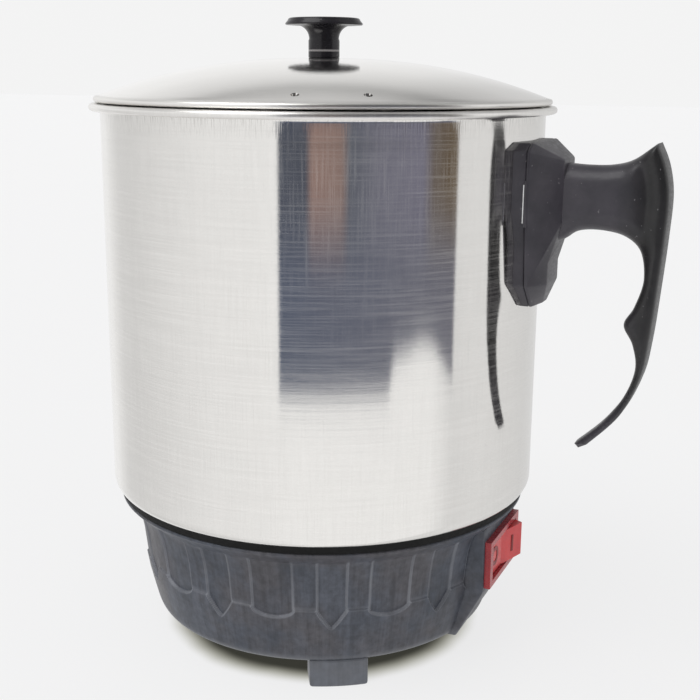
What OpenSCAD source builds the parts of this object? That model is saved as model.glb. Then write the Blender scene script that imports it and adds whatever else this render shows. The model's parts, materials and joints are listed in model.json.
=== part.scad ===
// Electric heating cup: a steel pot with a lid, on a moulded base that holds the heater and the switch.
// The axis of the pot is Z, the feet stand on z = 0, and the handle points along +X. Millimetres.

/* [Pot] */
// Outer radius of the steel pot
pot_r = 70; // [60:1:80]
// Thickness of the pot's sheet steel
pot_wall = 0.8; // [0.6:0.1:1.2]
// Height of the underside of the pot's floor
pot_floor_z = 50.5; // [48:0.5:54]
// Height of the top of the rolled rim
pot_rim_z = 173.8; // [150:1:190]
// Radius of the corner between floor and wall
pot_corner_r = 4; // [2:0.5:6]
// Radius of the curl of the rim
rim_curl_r = 1.1; // [0.8:0.1:1.4]

/* [Lid] */
// Rise of the dome from its edge to its top
lid_rise = 11.9; // [8:0.1:16]
// Exponent of the dome, 2 is a plain bowl and more is flatter on top
lid_flatness = 2.3; // [2:0.1:4]
// Gap that the lid's edge leaves above the rim
lid_gap = 0.4; // [0.3:0.1:1]
// Depth of the skirt that centres the lid in the pot
skirt_depth = 5.2; // [3:0.2:10]
// Radius of the two steam vents
vent_r = 1.2; // [0.8:0.1:2]
// Distance of the vents from the axis
vent_ring_r = 65.5; // [30:0.5:66.5]
// Angle between the two vents
vent_spread = 17; // [10:1:180]
// Direction of the middle of the vents, from the handle
vent_azimuth = -63.5; // [-180:0.5:180]

/* [Knob] */
// Radius of the knob's disc
knob_r = 12.2; // [10:0.1:16]
// Radius of the knob's neck
knob_neck_r = 4.9; // [4.2:0.1:7]
// Height of the knob above the dome
knob_h = 12.4; // [10:0.1:18]

/* [Base] */
// Height of the underside of the base's floor
base_floor_z = 8; // [6:0.5:12]
// Thickness of the base's moulded wall
base_wall = 2.4; // [1.8:0.1:3]
// Height of the top of the base's lip
base_top_z = 48.7; // [46:0.1:50]
// Width of a foot
foot_w = 18; // [10:1:24]
// Number of feet
foot_count = 3; // [3:1:5]

/* [Switch] */
// Length of the switch's bezel, around the base
bezel_w = 31.5; // [30.5:0.1:32.5]
// Height of the switch's bezel
bezel_h = 15.5; // [15.2:0.1:17]
// Height of the middle of the switch
switch_z = 33.3; // [32:0.1:34.5]
// Distance of the switch pod's face from the axis
pod_face_x = 63.2; // [62.6:0.1:64]
// Tilt of the rocker to either side of its middle, in degrees
rocker_tilt = 10; // [6:1:10]
// Tilt of the contact arm to either side of its middle, in degrees
contact_tilt = 6; // [3:1:6]

/* [Power inlet] */
// Height of the middle of the inlet
inlet_z = 31; // [30:0.5:32]
// Distance of the flat that the inlet sits on from the axis
inlet_face_x = 56.5; // [56:0.1:57]

/* [Handle] */
// Thickness of the handle's arm and hook
handle_t = 13; // [10:0.5:16]
// Distance of the seam between seat and handle from the axis
seam_x = 71.6; // [71.4:0.1:72.5]
// Radius of the handle screw's thread
handle_screw_r = 2; // [1.5:0.1:2.2]
// Height of the handle screw
handle_screw_z = 128; // [126:0.5:131]

/* [Heater] */
// Radius of the aluminium heating plate
plate_r = 54; // [50:1:57]
// Thickness of the heating plate
plate_t = 5.2; // [4:0.2:6]
// Radius of the ring that the heating tube follows
tube_ring_r = 38; // [34:1:42]
// Radius of the heating tube
tube_r = 3.3; // [2.8:0.1:3.6]
// Radius of the stud that holds the base
stud_r = 2.5; // [2:0.1:3]

/* [Hidden] */

fine = 96;
touch = 0.02;
far = 200;

pot_inner_r = pot_r - pot_wall;
rim_curl_x = pot_r + 2.3;
rim_curl_z = pot_rim_z - rim_curl_r;

lid_bottom_z = pot_rim_z + lid_gap;
lid_edge_z = lid_bottom_z + 1.8;
lid_edge_r = pot_r + 1.9;
lid_dome_r = pot_r + 0.8;
lid_sheet = 0.8;
skirt_r = pot_inner_r - 0.5;
lid_top_z = lid_edge_z + lid_rise;

knob_base_z = lid_top_z;
knob_disc_z = knob_base_z + knob_h - 2.8;
insert_r = 3;
knob_thread_r = 2;
knob_thread_z = knob_base_z + 8;
washer_top_z = lid_top_z - lid_sheet - 0.05;

// The strap in the handle's seam, whose ends reach just past the seat
strap_low_z = 141.8;
strap_high_z = 152.8;
strap_half = 18.1;
strap_t = 0.6;
tongue_half = 6;
screw_head_x = seam_x + 3;
screw_head_h = 1.6;
slot_half = 0.4;

plate_z = pot_floor_z - plate_t;
tube_z = plate_z - 0.8;
tube_gap = 22;
tube_drop_z = 37;
pin_r = 1.4;
pin_end_z = 29;
tube_ends = [90 + tube_gap / 2, 90 - tube_gap / 2];
bead_r = 3;
bead_h = 3;

cutout_x = -18;
cutout_r = 8;
cutout_h = 8;
cutout_flange_r = cutout_r + 1.5;
cutout_flange_t = 1.2;
cutout_bottom_z = plate_z - cutout_h;
cutout_blade_y = 4;
cutout_blade_half_t = 0.4;
cutout_blade_half_w = 3;
cutout_blade_z = cutout_bottom_z - 7;
clip_low_z = plate_z - 3.2;
clip_high_z = plate_z - cutout_flange_t - touch;
clip_half_w = 4;
clip_reach = 13;
clip_screw_r = 1.5;
clip_screw_places = [[cutout_x, -clip_reach], [cutout_x, clip_reach]];

fuse_x = -4;
fuse_y = 22;
fuse_z = 38;
fuse_half = 7;
fuse_lead = 3;
fuse_r = 2.2;

stud_flange_h = 1.5;
boss_r = 7;
boss_top_z = 16;
washer_h = 0.8;
nut_h = 3.6;
stud_end_z = 2.2;
tag_t = 0.8;
tag_reach = 14;
foot_outer_r = 56.2;

pivot_x = pod_face_x - 2.4;
rocker_half = 12.6;
rocker_h = 11.2;
pivot_r = 1.2;
pivot_clearance = 0.05;
arm_pivot_x = pivot_x - 7.8;
housing_half_w = 13.9;
housing_half_h = 6.9;
cavity_half_w = 13.1;
cavity_half_h = 5.9;
cavity_floor_x = pivot_x - 10.6;
housing_back_x = cavity_floor_x - 1.2;
blade_end_x = housing_back_x - 8;
bezel_front_x = pod_face_x + 2;
pod_half_w = bezel_w / 2 + 1.5;
blade_y = [-8, 0, 8];
blade_half_z = 2.4;
blade_half_t = 0.4;
arm_rib_r = 0.7;
arm_half_y = 8.4;
arm_half_t = 0.4;

inlet_back_x = inlet_face_x - 17;
inlet_body_w = 27;
inlet_body_h = 19.5;
inlet_flange_w = 38;
inlet_flange_h = 22;
inlet_flange_t = 2.5;
inlet_screw_y = 16;
inlet_tab_x = inlet_back_x - 5;
inlet_flange_end_h = 11;
inlet_flange_flat_w = 26;
// Half width, lower and upper end of the recess around the inlet
recess_half_w = inlet_flange_w / 2 + 1;
recess_low_z = inlet_z - inlet_flange_h / 2 - 1;
recess_high_z = inlet_z + inlet_flange_h / 2 + 1;
inlet_wall = 1.5;
lead_r = 1.1;
wire_sides = 8;
// Length of the straight stretch at each end of a wire
wire_straight = 2;
along_x = [1, 0, 0];
upward = [0, 0, 1];
// A direction that no stretch of wire runs along
wire_side = [0.3, 0.8, 0.5];

// Outline of the base, from the lip down to the floor, as radius and height
base_outline = [[pot_r - 2.4, base_top_z], [pot_r - 2.4, base_top_z - 0.8], [66.2, 46.6], [64.4, 45],
                [63.3, 43], [62.4, 40], [61.6, 36], [60.8, 29], [59.6, 22], [57.9, 15], [56.9, 11.2],
                [55.9, 9.2], [54.4, base_floor_z + 0.2], [53, base_floor_z]];
// Half of the handle's seat seen along the radius, as sideways distance and height
seat_half = [[14, 164.4], [18, 162.2], [18, 145], [15.5, 135.5], [15.5, 123], [8, 115.5]];
// Control points of the handle's four edges, as distance from the axis and height
arm_top = [[74, 158.6], [79, 158.3], [86, 157.9], [93, 158.2], [99, 160], [105.7, 164.8]];
hook_outside = [[105.7, 164.8], [108.4, 158.5], [109.9, 150], [109.5, 138], [108.5, 124], [107, 107],
                [105, 95.5], [99.5, 83.3], [89.6, 72.4]];
hook_tip = [[87.6, 71.6], [86.4, 72.8]];
hook_inside = [[86.4, 72.8], [94.4, 80.6], [100.5, 89.5], [103.4, 98.5], [102.2, 106], [99.3, 111.8],
               [102, 117.3], [104.2, 125.5], [102.6, 133.2], [98, 137.4], [91, 138.9], [84, 138.4],
               [79.5, 135.6], [74, 134]];

function arc(cx, cy, r, a0, a1, n = 8) =
    [for (i = [0:n]) let (a = a0 + (a1 - a0) * i / n) [cx + r * cos(a), cy + r * sin(a)]];
function spline_at(p0, p1, p2, p3, t) =
    0.5 * (2 * p1 + (p2 - p0) * t + (2 * p0 - 5 * p1 + 4 * p2 - p3) * t * t
           + (3 * p1 - p0 - 3 * p2 + p3) * t * t * t);
function clamped(points, i) = points[max(0, min(len(points) - 1, i))];
// A smooth curve through the points, its last point left to the next curve
function curve(points, steps = 4) =
    [for (i = [0:len(points) - 2], k = [0:steps - 1])
        spline_at(clamped(points, i - 1), points[i], points[i + 1], clamped(points, i + 2), k / steps)];
function unit(v) = v / norm(v);
function reversed(list) = [for (i = [len(list) - 1:-1:0]) list[i]];
function dome_z(r) = lid_edge_z + lid_rise * (1 - pow(r / lid_dome_r, lid_flatness));
function dome_points(drop, r_out, n = 18) = [for (i = [0:n]) [r_out * i / n, dome_z(r_out * i / n) - drop]];

module revolve(points) {
    rotate_extrude($fn = fine) polygon(points);
}

// A wire through a list of points, swept as one many-sided tube that leaves its two ends straight
module wire(points, leaves, arrives, r = lead_r) {
    start = points[0];
    end = points[len(points) - 1];
    middle = [for (i = [1:len(points) - 2]) points[i]];
    first = start + wire_straight * leaves;
    final = end - wire_straight * arrives;
    path = concat([start], curve(concat([first], middle, [final]), 2), [final, end]);
    last = len(path) - 1;
    rings = [for (i = [0:last])
        let (along = unit(path[min(last, i + 1)] - path[max(0, i - 1)]),
             side = unit(cross(along, wire_side)),
             up = cross(along, side))
        for (k = [0:wire_sides - 1])
            let (a = 360 * k / wire_sides) path[i] + r * (cos(a) * side + sin(a) * up)];
    walls = [for (i = [0:last - 1], k = [0:wire_sides - 1])
        let (a = i * wire_sides, n = (k + 1) % wire_sides)
            [a + k, a + n, a + wire_sides + n, a + wire_sides + k]];
    start_cap = [for (k = [wire_sides - 1:-1:0]) k];
    end_cap = [for (k = [0:wire_sides - 1]) last * wire_sides + k];
    polyhedron(rings, concat([start_cap], walls, [end_cap]));
}

// A box given by its lowest and highest corner
module block(low, high) {
    translate(low) cube(high - low);
}

// A plate with the seat's outline, between two distances from the axis
module seat_plate(x0, x1) {
    outline = concat(seat_half, reversed([for (p = seat_half) [-p[0], p[1]]]));
    translate([x0, 0, 0])
        rotate([90, 0, 90])
            linear_extrude(x1 - x0) polygon(outline);
}

module pot_body() {
    corner = pot_r - pot_corner_r;
    color([0.82, 0.81, 0.79])
        revolve(concat(
            [[0, pot_floor_z]],
            arc(corner, pot_floor_z + pot_corner_r, pot_corner_r, -90, 0),
            [[pot_r, rim_curl_z - 0.1], [rim_curl_x - 1.08, rim_curl_z - 0.1]],
            arc(rim_curl_x, rim_curl_z, rim_curl_r, -150, 90, 16),
            [[pot_inner_r + 0.7, pot_rim_z], [pot_inner_r, pot_rim_z - 0.7]],
            reversed(arc(corner, pot_floor_z + pot_corner_r, pot_corner_r - pot_wall, -90, 0)),
            [[0, pot_floor_z + pot_wall]]));
}

// ---- handle ----

// The pot's outside, as a tool that shapes what lies against it
module pot_clearance(extra = touch) {
    cylinder(h = far, r = pot_r + extra, $fn = 4 * fine);
}

module bracket_shape(grow = 0) {
    block([seam_x - strap_t - grow, -strap_half, strap_low_z - grow],
          [seam_x, strap_half, strap_high_z + grow]);
    block([pot_r - 8, -tongue_half - grow, handle_screw_z - tongue_half - grow],
          [seam_x, tongue_half + grow, strap_high_z + grow]);
}

module handle_bracket() {
    color([0.8, 0.8, 0.8])
        difference() {
            bracket_shape();
            pot_clearance(0);
            translate([0, 0, handle_screw_z])
                rotate([0, 90, 0])
                    cylinder(h = far, r = handle_screw_r, $fn = 32);
        }
}

module handle_seat() {
    color([0.2, 0.2, 0.22])
        difference() {
            seat_plate(pot_r - 8, seam_x);
            pot_clearance();
            bracket_shape(touch);
        }
}

module handle() {
    outline = concat(curve(arm_top), curve(hook_outside), hook_tip, curve(hook_inside));
    color([0.17, 0.17, 0.19])
        difference() {
            union() {
                hull() {
                    seat_plate(seam_x, seam_x + 0.8);
                    block([79, -handle_t / 2, 141], [80, handle_t / 2, 159.5]);
                }
                hull() {
                    seat_plate(seam_x, seam_x + 0.8);
                    block([75.4, -handle_t / 2, 122.5], [76.4, handle_t / 2, 140]);
                    block([73.4, -2, 116], [74.4, 2, 117]);
                }
                intersection() {
                    translate([0, handle_t / 2, 0])
                        rotate([90, 0, 0])
                            linear_extrude(handle_t) polygon(outline);
                    block([seam_x + 1, -far, 0], [far, far, far]);
                }
            }
            translate([seam_x - 1, 0, handle_screw_z])
                rotate([0, 90, 0])
                    cylinder(h = 20, r = handle_screw_r + 0.1, $fn = 32);
            translate([screw_head_x, 0, handle_screw_z])
                rotate([0, 90, 0])
                    cylinder(h = 20, r = handle_screw_r + 2.2, $fn = 32);
        }
}

// A cross slot in the end of a screw, cut along +Z from z = 0
module cross_slot(reach, depth) {
    translate([-slot_half, -reach, 0]) cube([2 * slot_half, 2 * reach, depth]);
    translate([-reach, -slot_half, 0]) cube([2 * reach, 2 * slot_half, depth]);
}

module handle_screw() {
    start_x = pot_r + 0.3;
    color([0.7, 0.7, 0.72])
        translate([0, 0, handle_screw_z])
            rotate([0, 90, 0])
                difference() {
                    union() {
                        translate([0, 0, start_x])
                            cylinder(h = screw_head_x - start_x, r = handle_screw_r, $fn = 32);
                        translate([0, 0, screw_head_x])
                            cylinder(h = screw_head_h, r = handle_screw_r + 1.8, $fn = 32);
                    }
                    translate([0, 0, screw_head_x + 0.9]) cross_slot(2.4, 2);
                }
}

// ---- heater ----

module heat_plate() {
    color([0.72, 0.72, 0.74])
        difference() {
            translate([0, 0, plate_z]) cylinder(h = plate_t, r = plate_r, $fn = fine);
            translate([0, 0, tube_z]) heating_ring(tube_r + touch);
            for (p = clip_screw_places) translate([p[0], p[1], plate_z - 1])
                cylinder(h = 4.2, r = clip_screw_r, $fn = 24);
        }
}

module heating_ring(r) {
    rotate_extrude($fn = fine) translate([tube_ring_r, 0]) circle(r = r, $fn = 32);
}

module heating_element() {
    color([0.45, 0.44, 0.43])
        union() {
            rotate([0, 0, tube_ends[0]])
                translate([0, 0, tube_z])
                    rotate_extrude(angle = 360 - tube_gap, $fn = fine)
                        translate([tube_ring_r, 0]) circle(r = tube_r, $fn = 32);
            for (a = tube_ends) rotate([0, 0, a])
                translate([tube_ring_r, 0, 0]) {
                    translate([0, 0, tube_drop_z])
                        cylinder(h = tube_z - tube_drop_z, r = tube_r - 0.2, $fn = 32);
                    translate([0, 0, pin_end_z])
                        cylinder(h = tube_drop_z - pin_end_z, r = pin_r, $fn = 24);
                }
        }
}

module element_beads() {
    color([0.92, 0.9, 0.86])
        for (a = tube_ends) rotate([0, 0, a])
            translate([tube_ring_r, 0, tube_drop_z - bead_h])
                difference() {
                    cylinder(h = bead_h, r = bead_r, $fn = 32);
                    translate([0, 0, -1]) cylinder(h = bead_h + 2, r = pin_r, $fn = 24);
                }
}

module thermostat() {
    color([0.15, 0.13, 0.12])
        translate([cutout_x, 0, 0])
            union() {
                translate([0, 0, cutout_bottom_z])
                    cylinder(h = cutout_h - cutout_flange_t, r = cutout_r, $fn = 48);
                translate([0, 0, plate_z - cutout_flange_t])
                    cylinder(h = cutout_flange_t, r = cutout_flange_r, $fn = 48);
                for (s = [-1, 1])
                    block([-cutout_blade_half_w, s * cutout_blade_y - cutout_blade_half_t, cutout_blade_z],
                          [cutout_blade_half_w, s * cutout_blade_y + cutout_blade_half_t,
                           cutout_bottom_z + 1]);
            }
}

module thermostat_clip() {
    inner = cutout_r + touch;
    outer = clip_reach + clip_half_w - 0.5;
    color([0.75, 0.75, 0.72])
        difference() {
            union() {
                for (s = [-1, 1])
                    block([cutout_x - clip_half_w, min(s * inner, s * outer), clip_low_z],
                          [cutout_x + clip_half_w, max(s * inner, s * outer), clip_high_z]);
                translate([cutout_x, 0, clip_low_z])
                    cylinder(h = clip_high_z - clip_low_z, r = cutout_r + 2.6, $fn = 48);
            }
            translate([cutout_x, 0, 0]) cylinder(h = far, r = inner, $fn = 48);
            for (p = clip_screw_places) translate([p[0], p[1], 0])
                cylinder(h = far, r = clip_screw_r + 0.1, $fn = 24);
        }
}

module clip_screws() {
    head_h = 2;
    color([0.7, 0.7, 0.72])
        for (p = clip_screw_places) translate([p[0], p[1], 0])
            union() {
                translate([0, 0, clip_low_z - head_h]) cylinder(h = head_h, r = 2.7, $fn = 24);
                translate([0, 0, clip_low_z]) cylinder(h = 6, r = clip_screw_r, $fn = 24);
            }
}

module thermal_fuse() {
    color([0.85, 0.82, 0.7])
        translate([fuse_x, fuse_y, fuse_z])
            rotate([0, 90, 0])
                union() {
                    translate([0, 0, -fuse_half]) cylinder(h = 2 * fuse_half, r = fuse_r, $fn = 32);
                    translate([0, 0, -fuse_half - fuse_lead])
                        cylinder(h = 2 * (fuse_half + fuse_lead), r = 0.6, $fn = 16);
                }
}

// ---- base ----

// The inside of the base, one wall in from its outline
function base_inside() = concat(
    [[0, base_floor_z + base_wall], [53 - base_wall, base_floor_z + base_wall]],
    reversed([for (p = base_outline) if (p[1] < 44 && p[1] > 10.5) [p[0] - base_wall, p[1]]]),
    [[pot_r - 8, base_top_z - 1], [pot_r - 8, base_top_z + 1], [0, base_top_z + 1]]);

// A pod on the base with an upright face, its lower half sloping back to the floor
module pod(face_x, half_w, face_low_z) {
    translate([0, half_w, 0])
        rotate([90, 0, 0])
            linear_extrude(2 * half_w)
                polygon([[44, base_floor_z], [54.8, base_floor_z], [face_x, face_low_z], [face_x, 45.3],
                         [face_x - 1.6, 46.6], [44, 46.6]]);
}

module foot(angle) {
    rotate([0, 0, angle])
        intersection() {
            block([45, -foot_w / 2, 0], [60, foot_w / 2, base_floor_z + 1]);
            cylinder(h = 20, r = foot_outer_r, $fn = fine);
        }
}

module base_shell() {
    color([0.33, 0.35, 0.4])
        difference() {
            union() {
                revolve(concat([[0, base_floor_z], [0, base_top_z]], base_outline));
                pod(pod_face_x, pod_half_w, switch_z - bezel_h / 2 - 1.2);
                for (i = [0:foot_count - 1]) foot(60 + i * 360 / foot_count);
            }
            difference() {
                revolve(base_inside());
                translate([0, 0, base_floor_z]) cylinder(h = boss_top_z - base_floor_z, r = boss_r, $fn = 48);
                // wall around and behind the inlet's recess
                block([-far, -recess_half_w - base_wall, base_floor_z],
                      [-inlet_face_x + base_wall, recess_half_w + base_wall, recess_high_z + base_wall]);
            }
            block([-far, -recess_half_w, recess_low_z], [-inlet_face_x, recess_half_w, recess_high_z]);
            translate([0, 0, base_floor_z - 1]) cylinder(h = 20, r = stud_r + 0.2, $fn = 32);
            block([40, -housing_half_w - 0.2, switch_z - housing_half_h - 0.2],
                  [far, housing_half_w + 0.2, switch_z + housing_half_h + 0.2]);
            block([-far, -inlet_body_w / 2 - 0.1, inlet_z - inlet_body_h / 2 - 0.1],
                  [-40, inlet_body_w / 2 + 0.1, inlet_z + inlet_body_h / 2 + 0.1]);
            for (s = [-1, 1]) translate([-inlet_face_x - 1, s * inlet_screw_y, inlet_z])
                rotate([0, 90, 0])
                    cylinder(h = 11, r = 1.5, $fn = 24);
        }
}

module base_gasket() {
    corner = pot_r - pot_corner_r;
    color([0.08, 0.08, 0.09])
        revolve(concat(
            [[plate_r + 5, base_top_z], [pot_r - 1.8, base_top_z], [pot_r - 1.5, base_top_z + 0.5]],
            reversed(arc(corner, pot_floor_z + pot_corner_r, pot_corner_r + touch, -90, -52, 5)),
            [[plate_r + 5, pot_floor_z - touch]]));
}

module base_stud() {
    flange_z = plate_z - stud_flange_h;
    color([0.7, 0.7, 0.72])
        union() {
            translate([0, 0, flange_z]) cylinder(h = stud_flange_h, r = 6, $fn = 32);
            translate([0, 0, stud_end_z]) cylinder(h = flange_z - stud_end_z, r = stud_r, $fn = 32);
        }
}

module base_washer() {
    color([0.8, 0.8, 0.8])
        translate([0, 0, base_floor_z - washer_h])
            difference() {
                cylinder(h = washer_h, r = 7, $fn = 48);
                translate([0, 0, -1]) cylinder(h = 3, r = stud_r + 0.2, $fn = 32);
            }
}

module base_nut() {
    color([0.78, 0.78, 0.76])
        translate([0, 0, base_floor_z - washer_h - nut_h])
            difference() {
                cylinder(h = nut_h, r = 4.8, $fn = 6);
                translate([0, 0, -1]) cylinder(h = nut_h + 2, r = stud_r, $fn = 32);
            }
}

module earth_tag() {
    color([0.85, 0.75, 0.4])
        translate([0, 0, boss_top_z])
            difference() {
                union() {
                    cylinder(h = tag_t, r = 5, $fn = 32);
                    block([-tag_reach, -2.4, 0], [0, 2.4, tag_t]);
                }
                translate([0, 0, -1]) cylinder(h = 3, r = stud_r + touch, $fn = 32);
            }
}

// ---- switch ----

module switch_blades(grow = 0) {
    for (y = blade_y)
        block([blade_end_x, y - blade_half_t - grow, switch_z - blade_half_z - grow],
              [cavity_floor_x + 0.6, y + blade_half_t + grow, switch_z + blade_half_z + grow]);
}

module switch_housing() {
    color([0.75, 0.28, 0.3])
        difference() {
            union() {
                block([pod_face_x, -bezel_w / 2, switch_z - bezel_h / 2],
                      [bezel_front_x, bezel_w / 2, switch_z + bezel_h / 2]);
                block([housing_back_x, -housing_half_w, switch_z - housing_half_h],
                      [pod_face_x, housing_half_w, switch_z + housing_half_h]);
            }
            block([cavity_floor_x, -cavity_half_w, switch_z - cavity_half_h],
                  [far, cavity_half_w, switch_z + cavity_half_h]);
            switch_blades(touch);
            translate([pivot_x, 0, switch_z - rocker_h / 2 - 1.2])
                cylinder(h = rocker_h + 2.4, r = pivot_r + pivot_clearance, $fn = 32);
        }
}

module switch_terminals() {
    contact_half_z = 1.5;
    color([0.83, 0.68, 0.35])
        difference() {
            union() {
                switch_blades();
                // saddle under the contact arm
                block([cavity_floor_x + 0.1, -1.2, switch_z - blade_half_z],
                      [arm_pivot_x - arm_half_t - 0.2, 1.2, switch_z + blade_half_z]);
                // fixed contact that the arm closes on, and the foot of the lamp's blade
                block([cavity_floor_x + 0.1, -9.4, switch_z - contact_half_z],
                      [arm_pivot_x - 1.6, -5.6, switch_z + contact_half_z]);
                block([cavity_floor_x + 0.1, 7, switch_z - contact_half_z],
                      [cavity_floor_x + 0.9, 9.4, switch_z + contact_half_z]);
            }
            translate([arm_pivot_x, 0, switch_z - 4])
                cylinder(h = 8, r = arm_rib_r + pivot_clearance, $fn = 32);
        }
}

module neon_lamp() {
    color([0.95, 0.55, 0.35])
        translate([arm_pivot_x, 10.9, switch_z - 4.5])
            union() {
                cylinder(h = 9, r = 1.5, $fn = 24);
                translate([0, 0, -1.2]) cylinder(h = 11.4, r = 0.3, $fn = 16);
            }
}

// Moves its children with the rocker, from the middle to the off position
module at_rocker() {
    translate([pivot_x, 0, switch_z]) rotate([0, 0, -rocker_tilt]) children();
}

module rocker() {
    end_r = rocker_half + 0.2;
    end_low = asin(-2 / end_r);
    end_high = asin(5 / end_r);
    color([0.85, 0.25, 0.22])
        at_rocker()
            union() {
                difference() {
                    translate([0, 0, -rocker_h / 2])
                        rotate([0, 0, -90])
                            linear_extrude(rocker_h)
                                polygon(concat(arc(0, 0, end_r, end_low, end_high, 5), [[0, 3.4]],
                                               arc(0, 0, end_r, 180 - end_high, 180 - end_low, 5)));
                    // hollow underside
                    block([-4, 3.2, -rocker_h / 2 + 1.2], [1.6, rocker_half - 1.4, rocker_h / 2 - 1.2]);
                    block([-4, -rocker_half + 1.4, -rocker_h / 2 + 1.2], [1.6, -3.2, rocker_h / 2 - 1.2]);
                }
                translate([0, 0, -rocker_h / 2 - 1]) cylinder(h = rocker_h + 2, r = pivot_r, $fn = 32);
            }
}

module rocker_plunger() {
    color([0.9, 0.88, 0.84])
        at_rocker()
            rotate([0, -90, 0])
                union() {
                    translate([0, 0, 2 + touch]) cylinder(h = 4.2, r = 1, $fn = 24);
                    translate([0, 0, 4.9]) cylinder(h = 0.9, r = 2, $fn = 24);
                    translate([0, 0, 6]) sphere(r = 1, $fn = 24);
                }
}

module rocker_spring() {
    wire_r = 0.28;
    color([0.75, 0.75, 0.75])
        at_rocker()
            rotate([0, -90, 0])
                for (i = [0:5]) translate([0, 0, 2 + touch + wire_r + i * 0.46])
                    rotate_extrude($fn = 32) translate([1.6, 0]) circle(r = wire_r, $fn = 16);
}

module contact_arm() {
    color([0.86, 0.7, 0.4])
        translate([arm_pivot_x, 0, switch_z])
            rotate([0, 0, contact_tilt])
                union() {
                    block([-arm_half_t, -arm_half_y, -2.2], [arm_half_t, arm_half_y, 2.2]);
                    // contact button
                    block([-arm_half_t - 0.25, -arm_half_y, -1.4], [-arm_half_t, -6, 1.4]);
                    // rib that rocks in the saddle
                    translate([0, 0, -2.2]) cylinder(h = 4.4, r = arm_rib_r, $fn = 32);
                }
}

// ---- power inlet ----

module inlet_pin_set(grow = 0) {
    for (p = [[-7, 3], [7, 3], [0, -3]])
        block([-inlet_face_x + 2, p[0] - 1 - grow, inlet_z + p[1] - 2 - grow],
              [-inlet_tab_x, p[0] + 1 + grow, inlet_z + p[1] + 2 + grow]);
}

module inlet_housing() {
    color([0.12, 0.12, 0.13])
        difference() {
            union() {
                hull() {
                    block([-inlet_face_x - inlet_flange_t, -inlet_flange_flat_w / 2,
                           inlet_z - inlet_flange_h / 2],
                          [-inlet_face_x, inlet_flange_flat_w / 2, inlet_z + inlet_flange_h / 2]);
                    block([-inlet_face_x - inlet_flange_t, -inlet_flange_w / 2,
                           inlet_z - inlet_flange_end_h / 2],
                          [-inlet_face_x, inlet_flange_w / 2, inlet_z + inlet_flange_end_h / 2]);
                }
                block([-inlet_face_x, -inlet_body_w / 2, inlet_z - inlet_body_h / 2],
                      [-inlet_back_x, inlet_body_w / 2, inlet_z + inlet_body_h / 2]);
            }
            block([-far, -inlet_body_w / 2 + inlet_wall, inlet_z - inlet_body_h / 2 + inlet_wall],
                  [-inlet_back_x - 2.5, inlet_body_w / 2 - inlet_wall,
                   inlet_z + inlet_body_h / 2 - inlet_wall]);
            inlet_pin_set(touch);
            for (s = [-1, 1]) translate([-inlet_face_x - 4, s * inlet_screw_y, inlet_z])
                rotate([0, 90, 0])
                    cylinder(h = 8, r = 1.6, $fn = 24);
        }
}

module inlet_pins() {
    color([0.83, 0.7, 0.4]) inlet_pin_set();
}

module inlet_screws() {
    head_h = 1.4;
    color([0.7, 0.7, 0.72])
        for (s = [-1, 1]) translate([-inlet_face_x - inlet_flange_t, s * inlet_screw_y, inlet_z])
            rotate([0, 90, 0])
                difference() {
                    union() {
                        translate([0, 0, -head_h]) cylinder(h = head_h, r = 2.7, $fn = 24);
                        cylinder(h = 9, r = 1.5, $fn = 24);
                    }
                    translate([0, 0, -2]) cross_slot(1.8, 1.2);
                }
}

// ---- wiring ----

function element_pin(i) = [tube_ring_r * cos(tube_ends[i]), tube_ring_r * sin(tube_ends[i]), pin_end_z];

module live_lead() {
    color([0.55, 0.3, 0.15])
        wire([[-inlet_tab_x, -7, inlet_z + 3], [-30, -7, inlet_z + 2], [-27, -16, 24], [-12, -34, 18],
              [16, -34, 18], [34, -18, 20], [30, -4, 30], [34, 0, switch_z], [blade_end_x, 0, switch_z]],
             along_x, along_x);
}

module switched_lead() {
    color([0.8, 0.2, 0.15])
        wire([[blade_end_x, -8, switch_z], [36, -9, switch_z - 1], [26, -20, 24], [2, -22, 22],
              [-14, -12, 20], [cutout_x, -cutout_blade_y, 24], [cutout_x, -cutout_blade_y, cutout_blade_z]],
             -along_x, upward);
}

module fused_lead() {
    pin = element_pin(1);
    color([0.9, 0.88, 0.8]) {
        wire([[cutout_x, cutout_blade_y, cutout_blade_z], [cutout_x, cutout_blade_y, 25], [-18, 12, 25],
              [-20, 20, 34], [fuse_x - fuse_half - 6, fuse_y, fuse_z],
              [fuse_x - fuse_half - fuse_lead, fuse_y, fuse_z]],
             -upward, along_x);
        wire([[fuse_x + fuse_half + fuse_lead, fuse_y, fuse_z], [10, fuse_y, fuse_z - 2], [11, 28, 24],
              [pin[0], pin[1], 23], pin],
             along_x, upward);
    }
}

module neutral_lead() {
    pin = element_pin(0);
    color([0.2, 0.35, 0.7])
        wire([[-inlet_tab_x, 7, inlet_z + 3], [-30, 8, inlet_z + 2], [-27, 20, 24], [-16, 36, 22],
              [pin[0], pin[1], 22.5], pin],
             along_x, upward);
}

module earth_lead() {
    rest_z = boss_top_z + tag_t + lead_r + touch;
    color([0.4, 0.65, 0.2])
        wire([[-inlet_tab_x, 0, inlet_z - 3], [-30.5, 0, inlet_z - 3.5], [-26, 0, 21.5],
              [-20, 0, rest_z], [-tag_reach + 5, 0, rest_z]],
             along_x, along_x);
}

// ---- lid ----

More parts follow.
